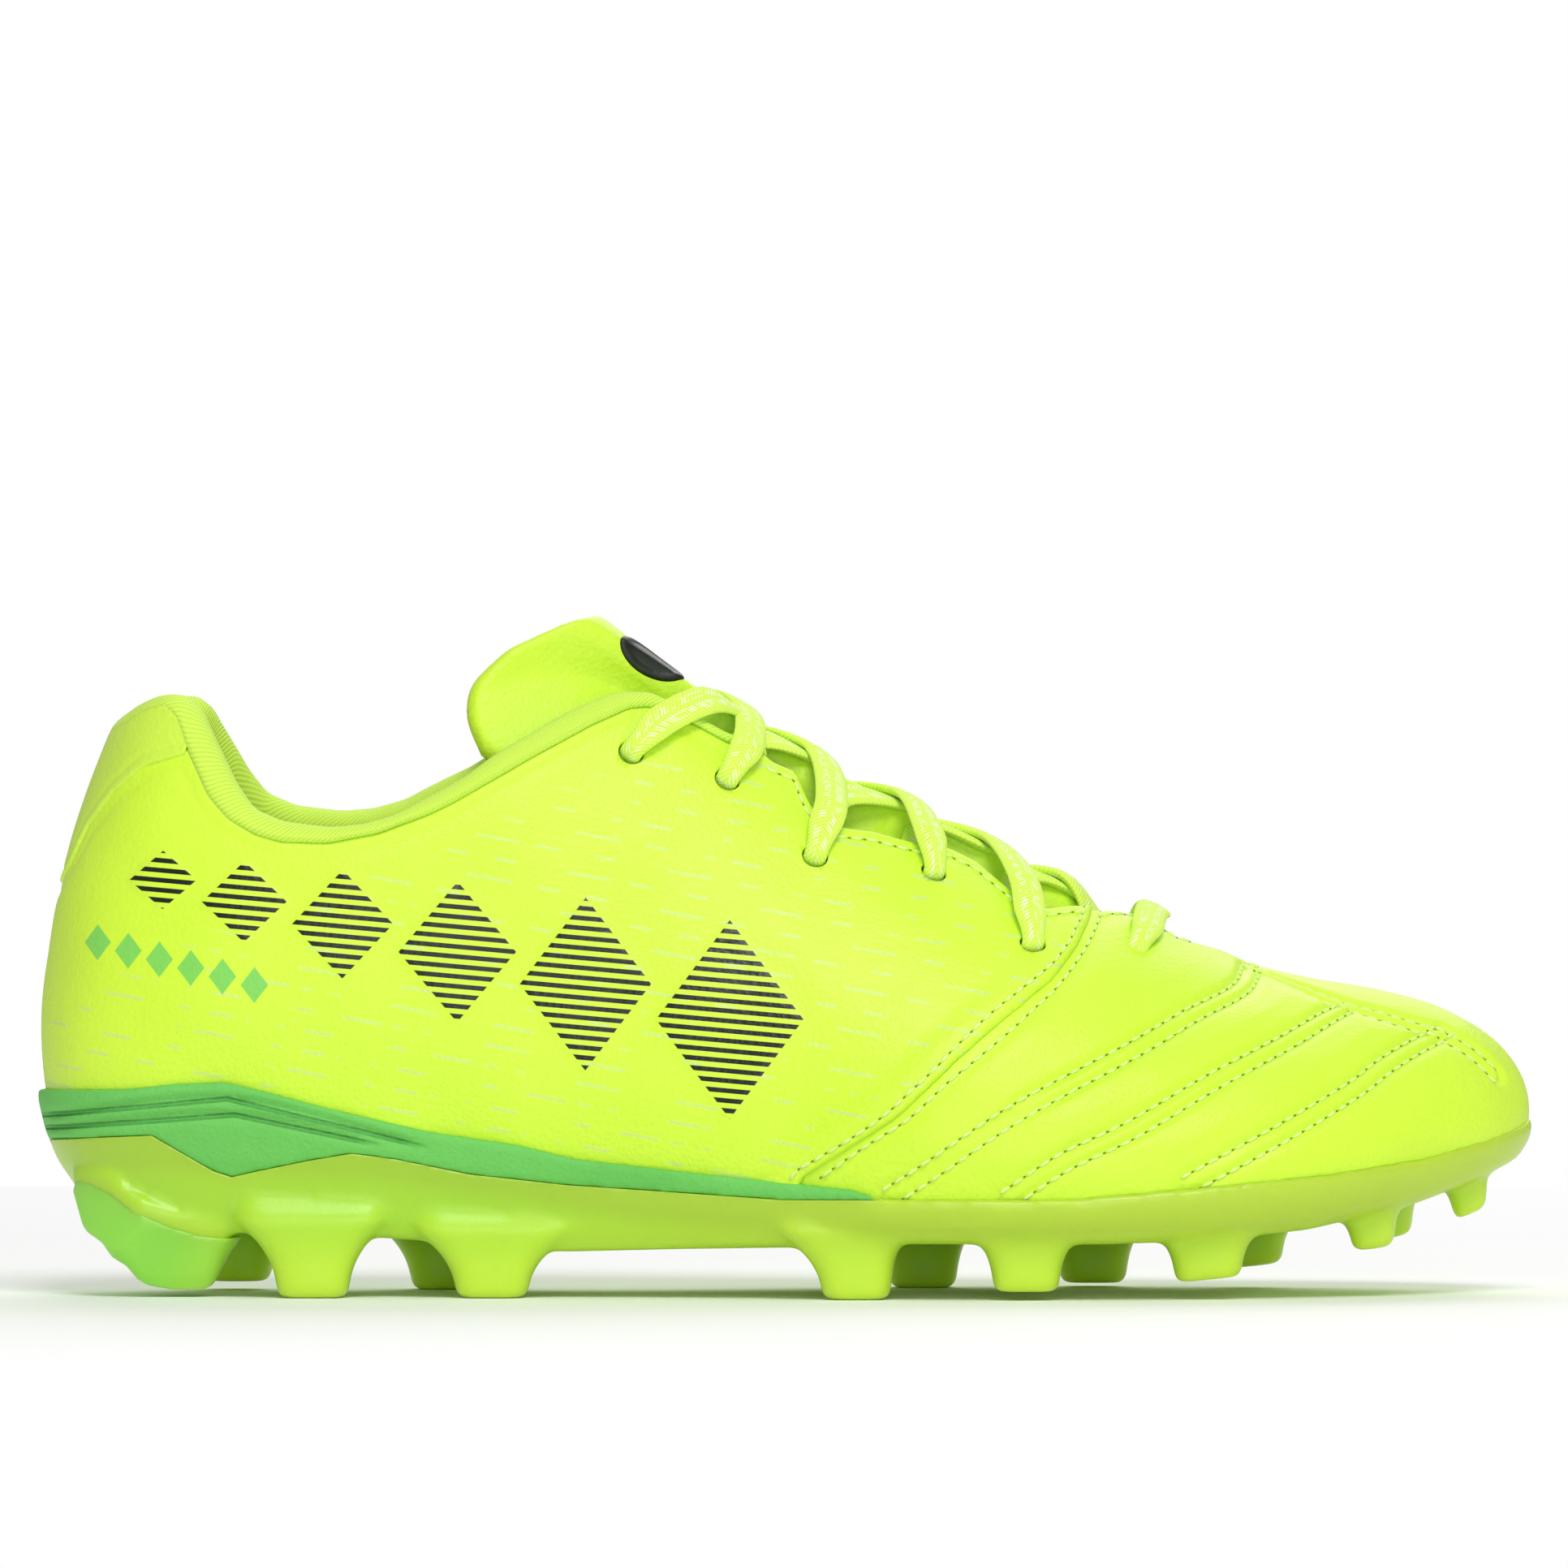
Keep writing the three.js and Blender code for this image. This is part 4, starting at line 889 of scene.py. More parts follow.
def collar_roll():
    """Twill tape rolled over the collar edge, from one side of the throat round the heel to the other."""
    sections, normals_kept = [], []
    us = np.linspace(0, 1, 1500)
    for side in (-1, 1):
        p = surface(us, np.interp(us, DENSE, COLLAR_RISE[side]), side)
        stop = us[np.argmax(p[:, 0] > -3.2)]
        path = resample(np.column_stack([us, p])[us <= stop][:, [0, 1, 2, 3]][:, 1:], 0.9)
        u = np.interp(path_length(path) / path_length(path)[-1],
                      path_length(p[us <= stop]) / path_length(p[us <= stop])[-1], us[us <= stop])
        low = np.interp(u, DENSE, COLLAR_RISE[side])
        high = np.interp(u, DENSE, rise_to(DENSE, side, raised(BINDING_TOP, side)))
        foot, n = sheet(u, low, side)
        crest, crest_n = sheet(u, high, side)
        ring = roll_section(foot, n, crest, crest_n, side)
        sections.append(ring[::-1] if side < 0 else ring)
    rings = np.concatenate([sections[0][:-1], sections[1]])
    rings = smooth_rows(rings, 2)
    rings[:3] = taper(rings[:3], [0.35, 0.75, 0.95])
    rings[-3:] = taper(rings[-3:], [0.95, 0.75, 0.35])
    count, around = rings.shape[:2]
    along = path_length(rings.mean(axis=1))
    across = np.stack([path_length(ring) for ring in rings])
    uv = np.stack(np.broadcast_arrays(along[:, None], across), -1)
    faces = list(grid_faces(count, around, wrap=True))
    verts = rings.reshape(-1, 3)
    faces = [tuple(f) for f in faces]
    faces.append(tuple(range(around))[::-1])
    faces.append(tuple(range((count - 1) * around, count * around)))
    obj = new_object("collar_roll", verts, faces, material=BINDING, uv=uv.reshape(-1, 2))
    return face_out(obj)


def roll_section(foot, n, crest, crest_n, side):
    depth = 4.6 + pad_depth(foot)[:, None]
    outer = foot + n * 0.85
    inner = foot - n * depth
    centre = (outer + inner) / 2
    reach = (outer - inner) / 2
    up = crest - crest_n * (depth * 0.45) - centre
    angle = np.linspace(0, math.pi, 15)
    profile = [outer + (foot - crest) * 0.0 - n * 0.75 - up * 0.12]
    for a in angle:
        c, s = math.cos(a), math.sin(a)
        c = math.copysign(abs(c) ** 0.92, c)
        s = s ** 0.92
        profile.append(centre + reach * c + up * s)
    profile.append(inner - up * 0.35 + n * 0.15)
    profile.append(inner - up * 0.35 + n * 1.6)
    profile.append(centre - up * 0.1)
    return np.stack(profile, 1)


def smooth_rows(rings, rounds):
    for _ in range(rounds):
        rings[1:-1] = rings[1:-1] * 0.5 + (rings[:-2] + rings[2:]) * 0.25
    return rings


def taper(rings, sizes):
    centre = rings.mean(axis=1, keepdims=True)
    return centre + (rings - centre) * np.array(sizes)[:, None, None]


def face_out(obj):
    """Turn every face outwards."""
    mesh = bmesh.new()
    mesh.from_mesh(obj.data)
    bmesh.ops.recalc_face_normals(mesh, faces=mesh.faces)
    mesh.to_mesh(obj.data)
    mesh.free()
    return obj


def inner_lining():
    """Padded knit lining of the whole inside, thick round the ankle."""
    rows = np.linspace(0, 1, 70)
    outer, inner, faces, start = [], [], [], 0
    for side, _ in SIDES:
        top = rise_to(DENSE, side, raised(line([[x, z - 0.5] for x, z in COLLAR + THROAT]), side))
        columns = np.linspace(0, 1, 260)
        u = np.broadcast_to(columns[None, :], (len(rows), len(columns)))
        t = 0.03 + rows[:, None] * (np.interp(columns, DENSE, top) - 0.03)[None, :]
        p, n = sheet(u, t, side)
        lip = (1 - rows[:, None])
        deep = LINING_IN - pad_depth(p) + 0 * lip
        outer.append((p + n * LINING_OUT).reshape(-1, 3))
        inner.append((p + n * deep[..., None]).reshape(-1, 3))
        faces.append(grid_faces(*u.shape, start=start, flip=side > 0))
        start += u.size
    verts, all_faces = join_sides(np.concatenate(outer), np.concatenate(inner), np.concatenate(faces))
    return new_object("inner_lining", verts, all_faces, material=LINING)


def punch(obj, holes):
    """Cut the lace holes through a panel."""
    cut = obj.modifiers.new("lace_holes", "BOOLEAN")
    cut.object = holes
    cut.operation = "DIFFERENCE"
    cut.solver = "MANIFOLD"
    apply_modifiers(obj)


def apply_modifiers(obj):
    graph = bpy.context.evaluated_depsgraph_get()
    graph.update()
    mesh = bpy.data.meshes.new_from_object(obj.evaluated_get(graph), preserve_all_data_layers=True, depsgraph=graph)
    obj.modifiers.clear()
    obj.data = mesh
    mesh.polygons.foreach_set("use_smooth", [True] * len(mesh.polygons))


def tube(path, radius, around=20):
    """Plain round tube along a path, with flat ends."""
    tangent = unit(np.gradient(path, axis=0))
    side = unit(np.cross(tangent, [0.0, 1.0, 0.1]))
    other = np.cross(tangent, side)
    angle = np.linspace(0, 2 * math.pi, around, endpoint=False)
    radius = np.broadcast_to(radius, len(path))
    rings = (path[:, None] + side[:, None] * np.cos(angle)[None, :, None] * radius[:, None, None]
             + other[:, None] * np.sin(angle)[None, :, None] * radius[:, None, None])
    faces = [tuple(f) for f in grid_faces(len(path), around, wrap=True)]
    faces.append(tuple(range(around))[::-1])
    faces.append(tuple(range((len(path) - 1) * around, len(path) * around)))
    return rings.reshape(-1, 3), faces


def merged(parts):
    verts, faces, start = [], [], 0
    for v, f in parts:
        verts.append(v)
        faces += [tuple(i + start for i in face) for face in f]
        start += len(v)
    return np.concatenate(verts), faces


def hole_cutters():
    parts = []
    for side, _ in SIDES:
        for x, z in EYELETS:
            u, t = locate(x, z, side)
            p, n = sheet(u, t, side)
            path = p + n * np.array([-12.0, -6, 0, 4])[:, None]
            parts.append(tube(path, 2.5, 28))
    return face_out(new_object("hole_cutters", *merged(parts), body=None))


# ---------------------------------------------------------------- stitches
def stitch_tree():
    """Geometry Nodes: one thread loop on each point, turned along the row."""
    tree = bpy.data.node_groups.new("sewn_row", "GeometryNodeTree")
    tree.interface.new_socket("Geometry", in_out="INPUT", socket_type="NodeSocketGeometry")
    tree.interface.new_socket("Stitch length", in_out="INPUT", socket_type="NodeSocketFloat")
    tree.interface.new_socket("Thread width", in_out="INPUT", socket_type="NodeSocketFloat")
    tree.interface.new_socket("Thread", in_out="INPUT", socket_type="NodeSocketMaterial")
    tree.interface.new_socket("Geometry", in_out="OUTPUT", socket_type="NodeSocketGeometry")

    def add(kind, links, **settings):
        node = tree.nodes.new(kind)
        for key, value in settings.items():
            setattr(node, key, value)
        for key, value in links.items():
            if isinstance(value, bpy.types.NodeSocket):
                tree.links.new(value, node.inputs[key])
            else:
                node.inputs[key].default_value = value
        return node

    given = tree.nodes.new("NodeGroupInput").outputs
    ball = add("GeometryNodeMeshUVSphere", {"Segments": 8, "Rings": 6, "Radius": 0.5})
    size = add("ShaderNodeCombineXYZ", {0: given["Stitch length"], 1: given["Thread width"],
                                        2: given["Thread width"]})
    loop = add("GeometryNodeTransform", {"Geometry": ball.outputs["Mesh"], "Scale": size.outputs[0]})
    along = add("GeometryNodeInputNamedAttribute", {"Name": "along"}, data_type="FLOAT_VECTOR")
    up = add("GeometryNodeInputNamedAttribute", {"Name": "up"}, data_type="FLOAT_VECTOR")
    turn = add("FunctionNodeAlignRotationToVector", {"Vector": along.outputs["Attribute"]}, axis="X")
    roll = add("FunctionNodeAlignRotationToVector", {"Rotation": turn.outputs[0], "Vector": up.outputs["Attribute"]},
               axis="Z", pivot_axis="X")
    points = add("GeometryNodeMeshToPoints", {"Mesh": given["Geometry"]})
    placed = add("GeometryNodeInstanceOnPoints", {"Points": points.outputs[0], "Instance": loop.outputs[0],
                                                  "Rotation": roll.outputs[0]})
    real = add("GeometryNodeRealizeInstances", {"Geometry": placed.outputs[0]})
    smooth = add("GeometryNodeSetShadeSmooth", {"Geometry": real.outputs[0]})
    done = add("GeometryNodeSetMaterial", {"Geometry": smooth.outputs[0], "Material": given["Thread"]})
    out = tree.nodes.new("NodeGroupOutput")
    tree.links.new(done.outputs[0], out.inputs[0])
    return tree


SEWN_ROW = stitch_tree()


def sew(path, up, pitch=3.0, body="shoe", lift=0.0):
    """Add one row of stitches along a path; up is a function of points giving the way out."""
    row = resample(path, pitch / 2)
    tangent = unit(np.gradient(row, axis=0))
    out = unit(up(row))
    ROWS[body].append((row + out * lift, tangent, out))


def beside(path, out, distance):
    """Path moved sideways over the surface."""
    tangent = unit(np.gradient(path, axis=0))
    return path + unit(np.cross(tangent, out)) * distance


def way_out(p):
    """Rough outward direction on the upper for points with x below the ridge."""
    found = np.empty_like(p)
    for i, (x, y, z) in enumerate(p):
        side = -1 if y < ridge_y(x) else 1
        u, t = locate(x, z, side)
        found[i] = normals(np.array([u]), np.array([t]), side)[0]
    return found


def ridge_y(x):
    return float(np.interp(x, STATIONS[:, 6], (STATIONS[:, 7] + STATIONS[:, 8]) / 2))


def settle_rows(rows, objects, sink):
    """Lay every stitch on the skin below it."""
    trees = []
    for obj in objects:
        verts = [tuple(np.array(v.co) / MM) for v in obj.data.vertices]
        trees.append(BVHTree.FromPolygons(verts, [tuple(f.vertices) for f in obj.data.polygons]))
    for p, _, up in rows:
        for i in range(len(p)):
            start = Vector(p[i] + up[i] * 4)
            best = None
            for tree in trees:
                hit = tree.ray_cast(start, Vector(-up[i]), 9)
                if hit[0] is not None and (best is None or hit[3] < best[3]):
                    best = hit
            if best is not None:
                p[i] = np.array(best[0]) + up[i] * sink


def sewn_pieces(name, body):
    """Threads and needle marks of every sewn row of one body, as two pieces; the needle marks are small dark blobs,
    painted shade in the needle holes.
    """
    rows = ROWS[body]
    made = []
    # The second kind is the needle marks: small dark blobs sunk between the stitches, painted shade where the thread
    # dips into its holes.
    for kind, first, length, width, material in (("thread", 0, 2.4, 0.74, THREAD),
                                                 ("needle_shade_marks", 1, 0.62, 0.4, NEEDLE_HOLE_SHADE)):
        p = np.concatenate([r[0][first::2] for r in rows])
        along = np.concatenate([r[1][first::2] for r in rows])
        up = np.concatenate([r[2][first::2] for r in rows])
        if first:
            p = p - up * 0.08
        mesh = bpy.data.meshes.new(name + "_" + kind)
        mesh.from_pydata((p * MM).tolist(), [], [])
        for key, value in (("along", along), ("up", up)):
            layer = mesh.attributes.new(key, "FLOAT_VECTOR", "POINT")
            layer.data.foreach_set("vector", value.astype(np.float32).ravel())
        obj = bpy.data.objects.new(name + "_" + kind, mesh)
        bpy.context.scene.collection.objects.link(obj)
        modifier = obj.modifiers.new("sewing", "NODES")
        modifier.node_group = SEWN_ROW
        sockets = {s.name: s.identifier for s in SEWN_ROW.interface.items_tree if s.in_out == "INPUT"}
        modifier[sockets["Stitch length"]] = length * MM
        modifier[sockets["Thread width"]] = width * MM
        modifier[sockets["Thread"]] = material
        graph = bpy.context.evaluated_depsgraph_get()
        graph.update()
        data = bpy.data.meshes.new_from_object(obj.evaluated_get(graph), depsgraph=graph)
        obj.modifiers.clear()
        obj.data = data
        obj["body"] = body
        made.append(obj)
    return made


# ---------------------------------------------------------------- tongue
SWELL_START = line([[-60, .8], [-30, .89], [-12, .91], [-5, .93], [8, .8], [20, .83], [29, .93], [38, .92],
                    [46, .82], [56, .86], [64, .97]])
TONGUE_TIP = lambda z: np.interp(z, [90, 97, 103, 110, 113, 117.4, 120, 125.4, 129, 129.5],
                                 [-30, -46, -55, -58, -58.5, -57.8, -56.2, -50, -40.8, -37])
TONGUE_LOW = line([[-60, 106], [-55, 102], [-46, 97], [-30, 90], [-10, 80], [12, 70], [30, 63], [48, 54],
                   [62, 47], [80, 46]])
TONGUE_BASE = 0.735
TONGUE_DEEP = 5.0


def tongue_top(p, t):
    start = SWELL_START(p[..., 0])
    rise = 7.0 + (3.5 - 7.0) * smoothstep(50, 66, p[..., 0])
    return -8.6 + smoothstep(start, np.minimum(start + 0.15, 0.99), t) * rise


def tongue_height(u, q, side):
    low = np.interp(u, DENSE, TONGUE_RISE[side])
    return 1 - np.abs(q) * (1 - low)


TONGUE_RISE = {side: rise_to(DENSE, side, TONGUE_LOW) for side in (-1, 1)}


def tongue_end(q, side):
    us = np.linspace(0.55, 0.12, 700)
    t = tongue_height(us, q, side)
    p = surface(us, t, side)
    past = p[:, 0] < TONGUE_TIP(p[:, 2])
    return us[int(np.argmax(past))]


def tongue_grid():
    """Surface points across and along the tongue, bridged over the open middle of the ankle."""
    rows = np.linspace(0, 1, 190)
    halves, heights = [], []
    for side in (-1, 1):
        qs = np.linspace(1, 0, 56)
        ends = np.array([tongue_end(q, side) for q in qs])
        ends = np.convolve(np.pad(ends, 3, mode="edge"), np.ones(7) / 7, mode="valid")
        u = TONGUE_BASE + (ends[None, :] - TONGUE_BASE) * rows[:, None]
        t = tongue_height(u, qs[None, :], side)
        halves.append(surface(u, t, side))
        heights.append(t)
    left, right = halves[0], halves[1][:, ::-1]
    a, b = left[:, -1], right[:, 0]
    span = np.linalg.norm(b - a, axis=1, keepdims=True)
    lean_a = unit(left[:, -1] - left[:, -4]) * span
    lean_b = unit(right[:, 3] - right[:, 0]) * span
    bridge = []
    for f in np.linspace(0, 1, 14)[1:-1]:
        bridge.append((2 * f ** 3 - 3 * f ** 2 + 1) * a + (f ** 3 - 2 * f ** 2 + f) * lean_a
                      + (3 * f ** 2 - 2 * f ** 3) * b + (f ** 3 - f ** 2) * lean_b)
    bridge = np.stack(bridge, 1)
    p = np.concatenate([left, bridge, right], 1)
    t = np.concatenate([heights[0], np.ones(bridge.shape[:2]), heights[1][:, ::-1]], 1)
    return p, t


def tongue():
    p, t_all = tongue_grid()
    middle = slice(48, 76)
    for _ in range(12):
        p[:, middle] = (p[:, 47:75] + p[:, middle] * 2 + p[:, 49:77]) / 4
    n = unit(np.cross(np.gradient(p, axis=1), np.gradient(p, axis=0)))
    n = np.where((n[..., 2:3] < 0), -n, n) if (n[..., 2] < 0).mean() > 0.9 else n
    off = tongue_top(p, t_all) + 0.9 * (1 - smoothstep(-40, -22, p[..., 0]))
    rim = np.concatenate([p[-1], p[:, 0], p[:, -1]])
    d = distance_to(p.reshape(-1, 3), rim).reshape(t_all.shape)
    round_off = edge_round(d, 2.4)
    high = off - round_off + soft_dents(p, 30, 0.3, 5) * smoothstep(0, 6, d)
    low = off - TONGUE_DEEP + round_off * 0.9
    faces = grid_faces(*t_all.shape, flip=True)
    verts, all_faces = close_shell((p + n * high[..., None]).reshape(-1, 3),
                                   (p + n * low[..., None]).reshape(-1, 3), faces)
    obj = new_object("tongue_pad", verts, all_faces, body="tongue", material=TONGUE_SKIN)
    return face_out(obj), p, n, high


BADGE_BACK = 17.0
BADGE_OUT = -5.0
BADGE_LONG = 7.2
BADGE_WIDE = 4.6
BADGE_STEPS = [(1.0, -0.4), (1.0, 0.35), (0.94, 0.55), (0.82, 0.55), (0.76, 0.35), (0.6, 0.34), (0.4, 0.34),
               (0.15, 0.34)]


def tongue_badge(p, n, off):
    """Plain raised oval with a rim, printed dark."""
    centre = p.shape[1] // 2
    spine = p[:, centre] + n[:, centre] * (off[:, centre] + 0.2)[:, None]
    s = path_length(spine)
    tip = s[-1]

    def place(along, across):
        """Point on the tongue, measured from the tip back and out from the middle."""
        i = np.interp(tip - along, s, np.arange(len(s)))
        row = int(i)
        f = i - row
        ring = (p[row] + n[row] * off[row][:, None]) * (1 - f) + (p[row + 1] + n[row + 1] * off[row + 1][:, None]) * f
        out = n[row] * (1 - f) + n[row + 1] * f
        d = path_length(ring)
        d -= d[centre]
        point = np.array([np.interp(across, d, ring[:, k]) for k in range(3)])
        way = unit(np.array([np.interp(across, d, out[:, k]) for k in range(3)]))
        return point, way

    outline = [(BADGE_BACK + BADGE_LONG * math.cos(a), BADGE_OUT + BADGE_WIDE * math.sin(a))
               for a in np.linspace(0, 2 * math.pi, 64, endpoint=False)]
    middle = np.array([BADGE_BACK, BADGE_OUT])
    rings = []
    for share, height in BADGE_STEPS:
        ring = []
        for along, across in middle + (np.array(outline) - middle) * share:
            point, way = place(along, across)
            ring.append(point + way * height)
        rings.append(ring)
    rings = np.array(rings)
    around = rings.shape[1]
    faces = [tuple(f) for f in grid_faces(len(rings), around, wrap=True)]
    faces.append(tuple(range(around))[::-1])
    faces.append(tuple(range((len(rings) - 1) * around, len(rings) * around)))
    return face_out(new_object("tongue_oval", rings.reshape(-1, 3), faces, body="tongue", material=PRINT))


# ---------------------------------------------------------------- lace
THROAT_SIDE = [[-24, 107.5], [-8, 103], [8, 92], [26, 87], [44, 77.5], [62, 73]]
UNDER_LINING = -6.8
LACE_HALF_WIDTH = 3.25
LACE_HALF_THICK = 0.95
CROSS_SHIFT = [0, 8, 5, 5, 3, 0]
CROSS_OVER = 0.3
CROSS_UNDER = -1.6
RIDGE_X = [-112, -108, -98, -80, -56, -28, 0, 27, 54, 79, 99, 114, 124, 128.5]


def pair(x, z, side, off):
    u, t = locate(x, z, side)
    p, n = sheet(np.array([u]), np.array([t]), side)
    return np.concatenate([p[0] + n[0] * off, n[0]])


def on_ridge(x, off):
    z = float(np.interp(x, STATIONS[:, 6], STATIONS[:, 9]))
    return np.array([x + off * 0.45, ridge_y(x), z + off * 0.9, 0.45, 0, 0.9])


def between(a, b, f):
    return a[0] + (b[0] - a[0]) * f, a[1] + (b[1] - a[1]) * f


def crossing(start, side, over):
    leave, arrive = EYELETS[start], EYELETS[start - 1]
    edge0, edge1 = THROAT_SIDE[start], THROAT_SIDE[start - 1]
    if start == 5:
        first = [pair(edge0[0] + 1, edge0[1] - 2, side, UNDER_LINING - 0.4),
                 pair(edge0[0] - 2, edge0[1] + 2.2, side, -3.6)]
    else:
        first = [pair(*between(leave, edge0, 0.4), side, 2.1), pair(*edge0, side, 2.2)]
    middle = on_ridge((edge0[0] + edge1[0]) / 2 + CROSS_SHIFT[start], over)
    if start == 1:
        x, z = arrive
        last = [pair(-15.5, 111.3, -side, 2.3), pair(*edge1, -side, 2.4), pair(*between(edge1, arrive, 0.6), -side, 2.2),
                pair(x, z, -side, 0.4), pair(x, z, -side, -2.5), pair(x, z, -side, -5),
                pair(x - 2, z - 5, -side, -7), pair(x - 5, z - 14, -side, -7.4)]
    else:
        last = [pair(edge1[0] + 2.5, edge1[1] + 4.2, -side, -2.6),
                pair(edge1[0] + 1, edge1[1] + 0.4, -side, UNDER_LINING),
                pair(*between(edge1, arrive, 0.55), -side, UNDER_LINING - 0.3),
                pair(*arrive, -side, -5), pair(*arrive, -side, -2), pair(*arrive, -side, 0.6)]
    return first + [middle] + last


def strand(side):
    points = [pair(*EYELETS[5], side, off) for off in (0.4, -2.2, -5.2)]
    now = side
    for i in range(5, 0, -1):
        points += crossing(i, now, CROSS_OVER if now < 0 else CROSS_UNDER)
        now = -now
    return np.array(points)


def toe_bar():
    side = [pair(*EYELETS[5], -1, -2.2), pair(*EYELETS[5], -1, 0.8), pair(67.5, 67.5, -1, 2.3),
            pair(68.6, 70.4, -1, 2.2)]
    other = [pair(*EYELETS[5], 1, -2.2), pair(*EYELETS[5], 1, 0.8), pair(67.5, 67.5, 1, 2.3),
             pair(68.6, 70.4, 1, 2.2)]
    return np.array(side + [on_ridge(69.5, 2.4)] + other[::-1])


def flat_braid(control, holes):
    """Flat oval band along the control points, lying flat against the shoe."""
    path = curve_through(control, 0.75)
    p, out = path[:, :3], unit(path[:, 3:])
    tangent = unit(np.gradient(p, axis=0))
    wide = np.cross(tangent, out)
    sure = np.linalg.norm(wide, axis=1)
    wide = unit(wide)
    last = None
    for i in range(len(wide)):
        if last is not None and wide[i] @ last < 0:
            wide[i] = -wide[i]
        if sure[i] > 0.45 or last is None:
            last = wide[i]
    s = path_length(p)
    good = sure > 0.55
    wide = np.stack([np.interp(s, s[good], wide[good][:, k]) for k in range(3)], 1)
    for _ in range(14):
        wide[1:-1] = (wide[:-2] + wide[1:-1] * 2 + wide[2:]) / 4
    wide = unit(wide - tangent * np.sum(wide * tangent, axis=1, keepdims=True))
    thick = np.cross(wide, tangent)
    near = np.min(np.linalg.norm(p[:, None] - holes[None], axis=2), axis=1)
    squeeze = 1 - smoothstep(2, 8.5, near)
    half_w = LACE_HALF_WIDTH * (1 - 0.33 * squeeze)
    half_t = LACE_HALF_THICK * (1 + 0.3 * squeeze)
    angle = np.linspace(0, 2 * math.pi, 24, endpoint=False)
    c, sn = np.cos(angle), np.sin(angle)
    c = np.sign(c) * np.abs(c) ** 0.8
    rings = (p[:, None] + wide[:, None] * c[None, :, None] * half_w[:, None, None]
             + thick[:, None] * sn[None, :, None] * half_t[:, None, None])
    faces = [tuple(f) for f in grid_faces(len(p), 24, wrap=True)]
    faces.append(tuple(range(24))[::-1])
    faces.append(tuple(range((len(p) - 1) * 24, len(p) * 24)))
    across = np.broadcast_to((c * 3.0)[None, :], rings.shape[:2])
    along = np.broadcast_to(s[:, None], rings.shape[:2])
    return rings.reshape(-1, 3), faces, np.stack([along, across], -1).reshape(-1, 2), s[-1]


def lace():
    holes = np.array([pair(x, z, side, -1.5)[:3] for side in (-1, 1) for x, z in EYELETS])
    parts, uvs, total = [], [], 0
    for control in (strand(-1), strand(1), toe_bar()):
        verts, faces, uv, length = flat_braid(control, holes)
        parts.append((verts, faces))
        uvs.append(uv)
        total += length
    verts, faces = merged(parts)
    obj = new_object("lace_run", verts, faces, material=LACE, uv=np.concatenate(uvs))
    return face_out(obj), total


# ---------------------------------------------------------------- sole
PLATE_RING = [(0, 5.5), (0.03, 4.2), (0.12, 3), (0.3, 1.4), (0.5, 0.5)]
WALL_RING = [(0, 1.6), (0.12, 1.75), (0.5, 1.9), (0.85, 1.8), (0.96, 1.6), (1, 1.2)]
STUDS = [
    dict(x=(-95.6, -82.2), y=-23.5, deep=12, flare=(8, 8)),
    dict(x=(-62, -48.5), y=-23.5, deep=12, flare=(8, 10)),
    dict(x=(-112, -99), y=20, deep=12, z=1.6, flare=(6, 8)),
    dict(x=(-72, -59), y=20.5, deep=12, flare=(8, 10)),
    dict(x=(6.8, 19.6), y=-33, flare=(9, 3)),
    dict(x=(38.7, 51), y=-36, z=1.6, flare=(4, 4)),
    dict(x=(72.8, 85.3), y=-31.5, z=3.2, slope=0.1, flare=(5, 4)),
    dict(x=(106.7, 114.7), y=-18.5, deep=9, z=8.6, slope=0.15, flare=(6, 1.5)),
    dict(x=(126.9, 133.2), y=-2, deep=8, z=14.2, slope=0.4, flare=(6, 0.5)),
    dict(x=(20, 33), y=30, flare=(6, 4)),
    dict(x=(53, 66), y=34, z=0.8, flare=(5, 4)),
    dict(x=(84, 96), y=31, z=3.6, slope=0.1, flare=(5, 4)),
    dict(x=(112, 120.5), y=21, deep=9, z=9.2, slope=0.2, flare=(6, 1.5)),
    dict(x=(40, 49), y=2, deep=8, z=3.4, flare=(4, 4)),
]
PLATE_LINE = line(PLATE_BOTTOM)


def sole_loop(steps=220):
    """Stations round the sole: u and side, up the lateral side and back down the medial one."""
    u = np.linspace(0, 1, steps)
    return u, u[-2:0:-1]


def sole_ring(place):
    up, down = sole_loop()
    return np.concatenate([place(up, -1), place(down, 1)])


def wall_rise(u, side):
    return rise_to(u, side, SOLE_TOP)


def plate_place(level, inset):
    def place(u, side):
        base = surface(u, 0.0, side)
        out = surface(u, 0.02, side) - base
        out[:, 2] = 0
        out = unit(out)
        floor = PLATE_LINE(base[:, 0])
        low = base.copy()
        low[:, 2] = floor + (base[:, 2] - floor) * level
        return low - out * inset
    return place


def outline_place(z, grow):
    """Footprint moved out by grow, at height z."""
    def place(u, side):
        base = surface(u, 0.0, side)
        out = surface(u, 0.02, side) - base
        out[:, 2] = 0
        p = base + unit(out) * grow
        p[:, 2] = z
        return p
    return place


def wall_place(share, off):
    def place(u, side):
        t = np.maximum(wall_rise(u, side) * share, 0.004)
        return surface(u, t, side) + normals(u, t, side) * off
    return place


def strip_cap(count, start, flip):
    faces = []
    for i in range(count // 2):
        a, b = start + i, start + i + 1
        c, d = start + (count - i) % count, start + count - i - 1
        face = [a, b, d, c] if i > 0 and b != d else ([a, b, d] if b != d else [a, b, c])
        faces.append(tuple(dict.fromkeys(face[::-1] if flip else face)))
    return [f for f in faces if len(f) > 2]


def loft_rings(rings):
    """Closed body through rings of points, capped at both ends."""
    count = len(rings[0])
    verts = np.concatenate(rings)
    faces = [tuple(f) for f in grid_faces(len(rings), count, wrap=True)]
    faces += strip_cap(count, 0, True) + strip_cap(count, (len(rings) - 1) * count, False)
    return verts, faces


def sole_block():
    rings = [sole_ring(plate_place(level, inset)) for level, inset in PLATE_RING]
    rings += [sole_ring(wall_place(share, off)) for share, off in WALL_RING]
    return loft_rings(rings)


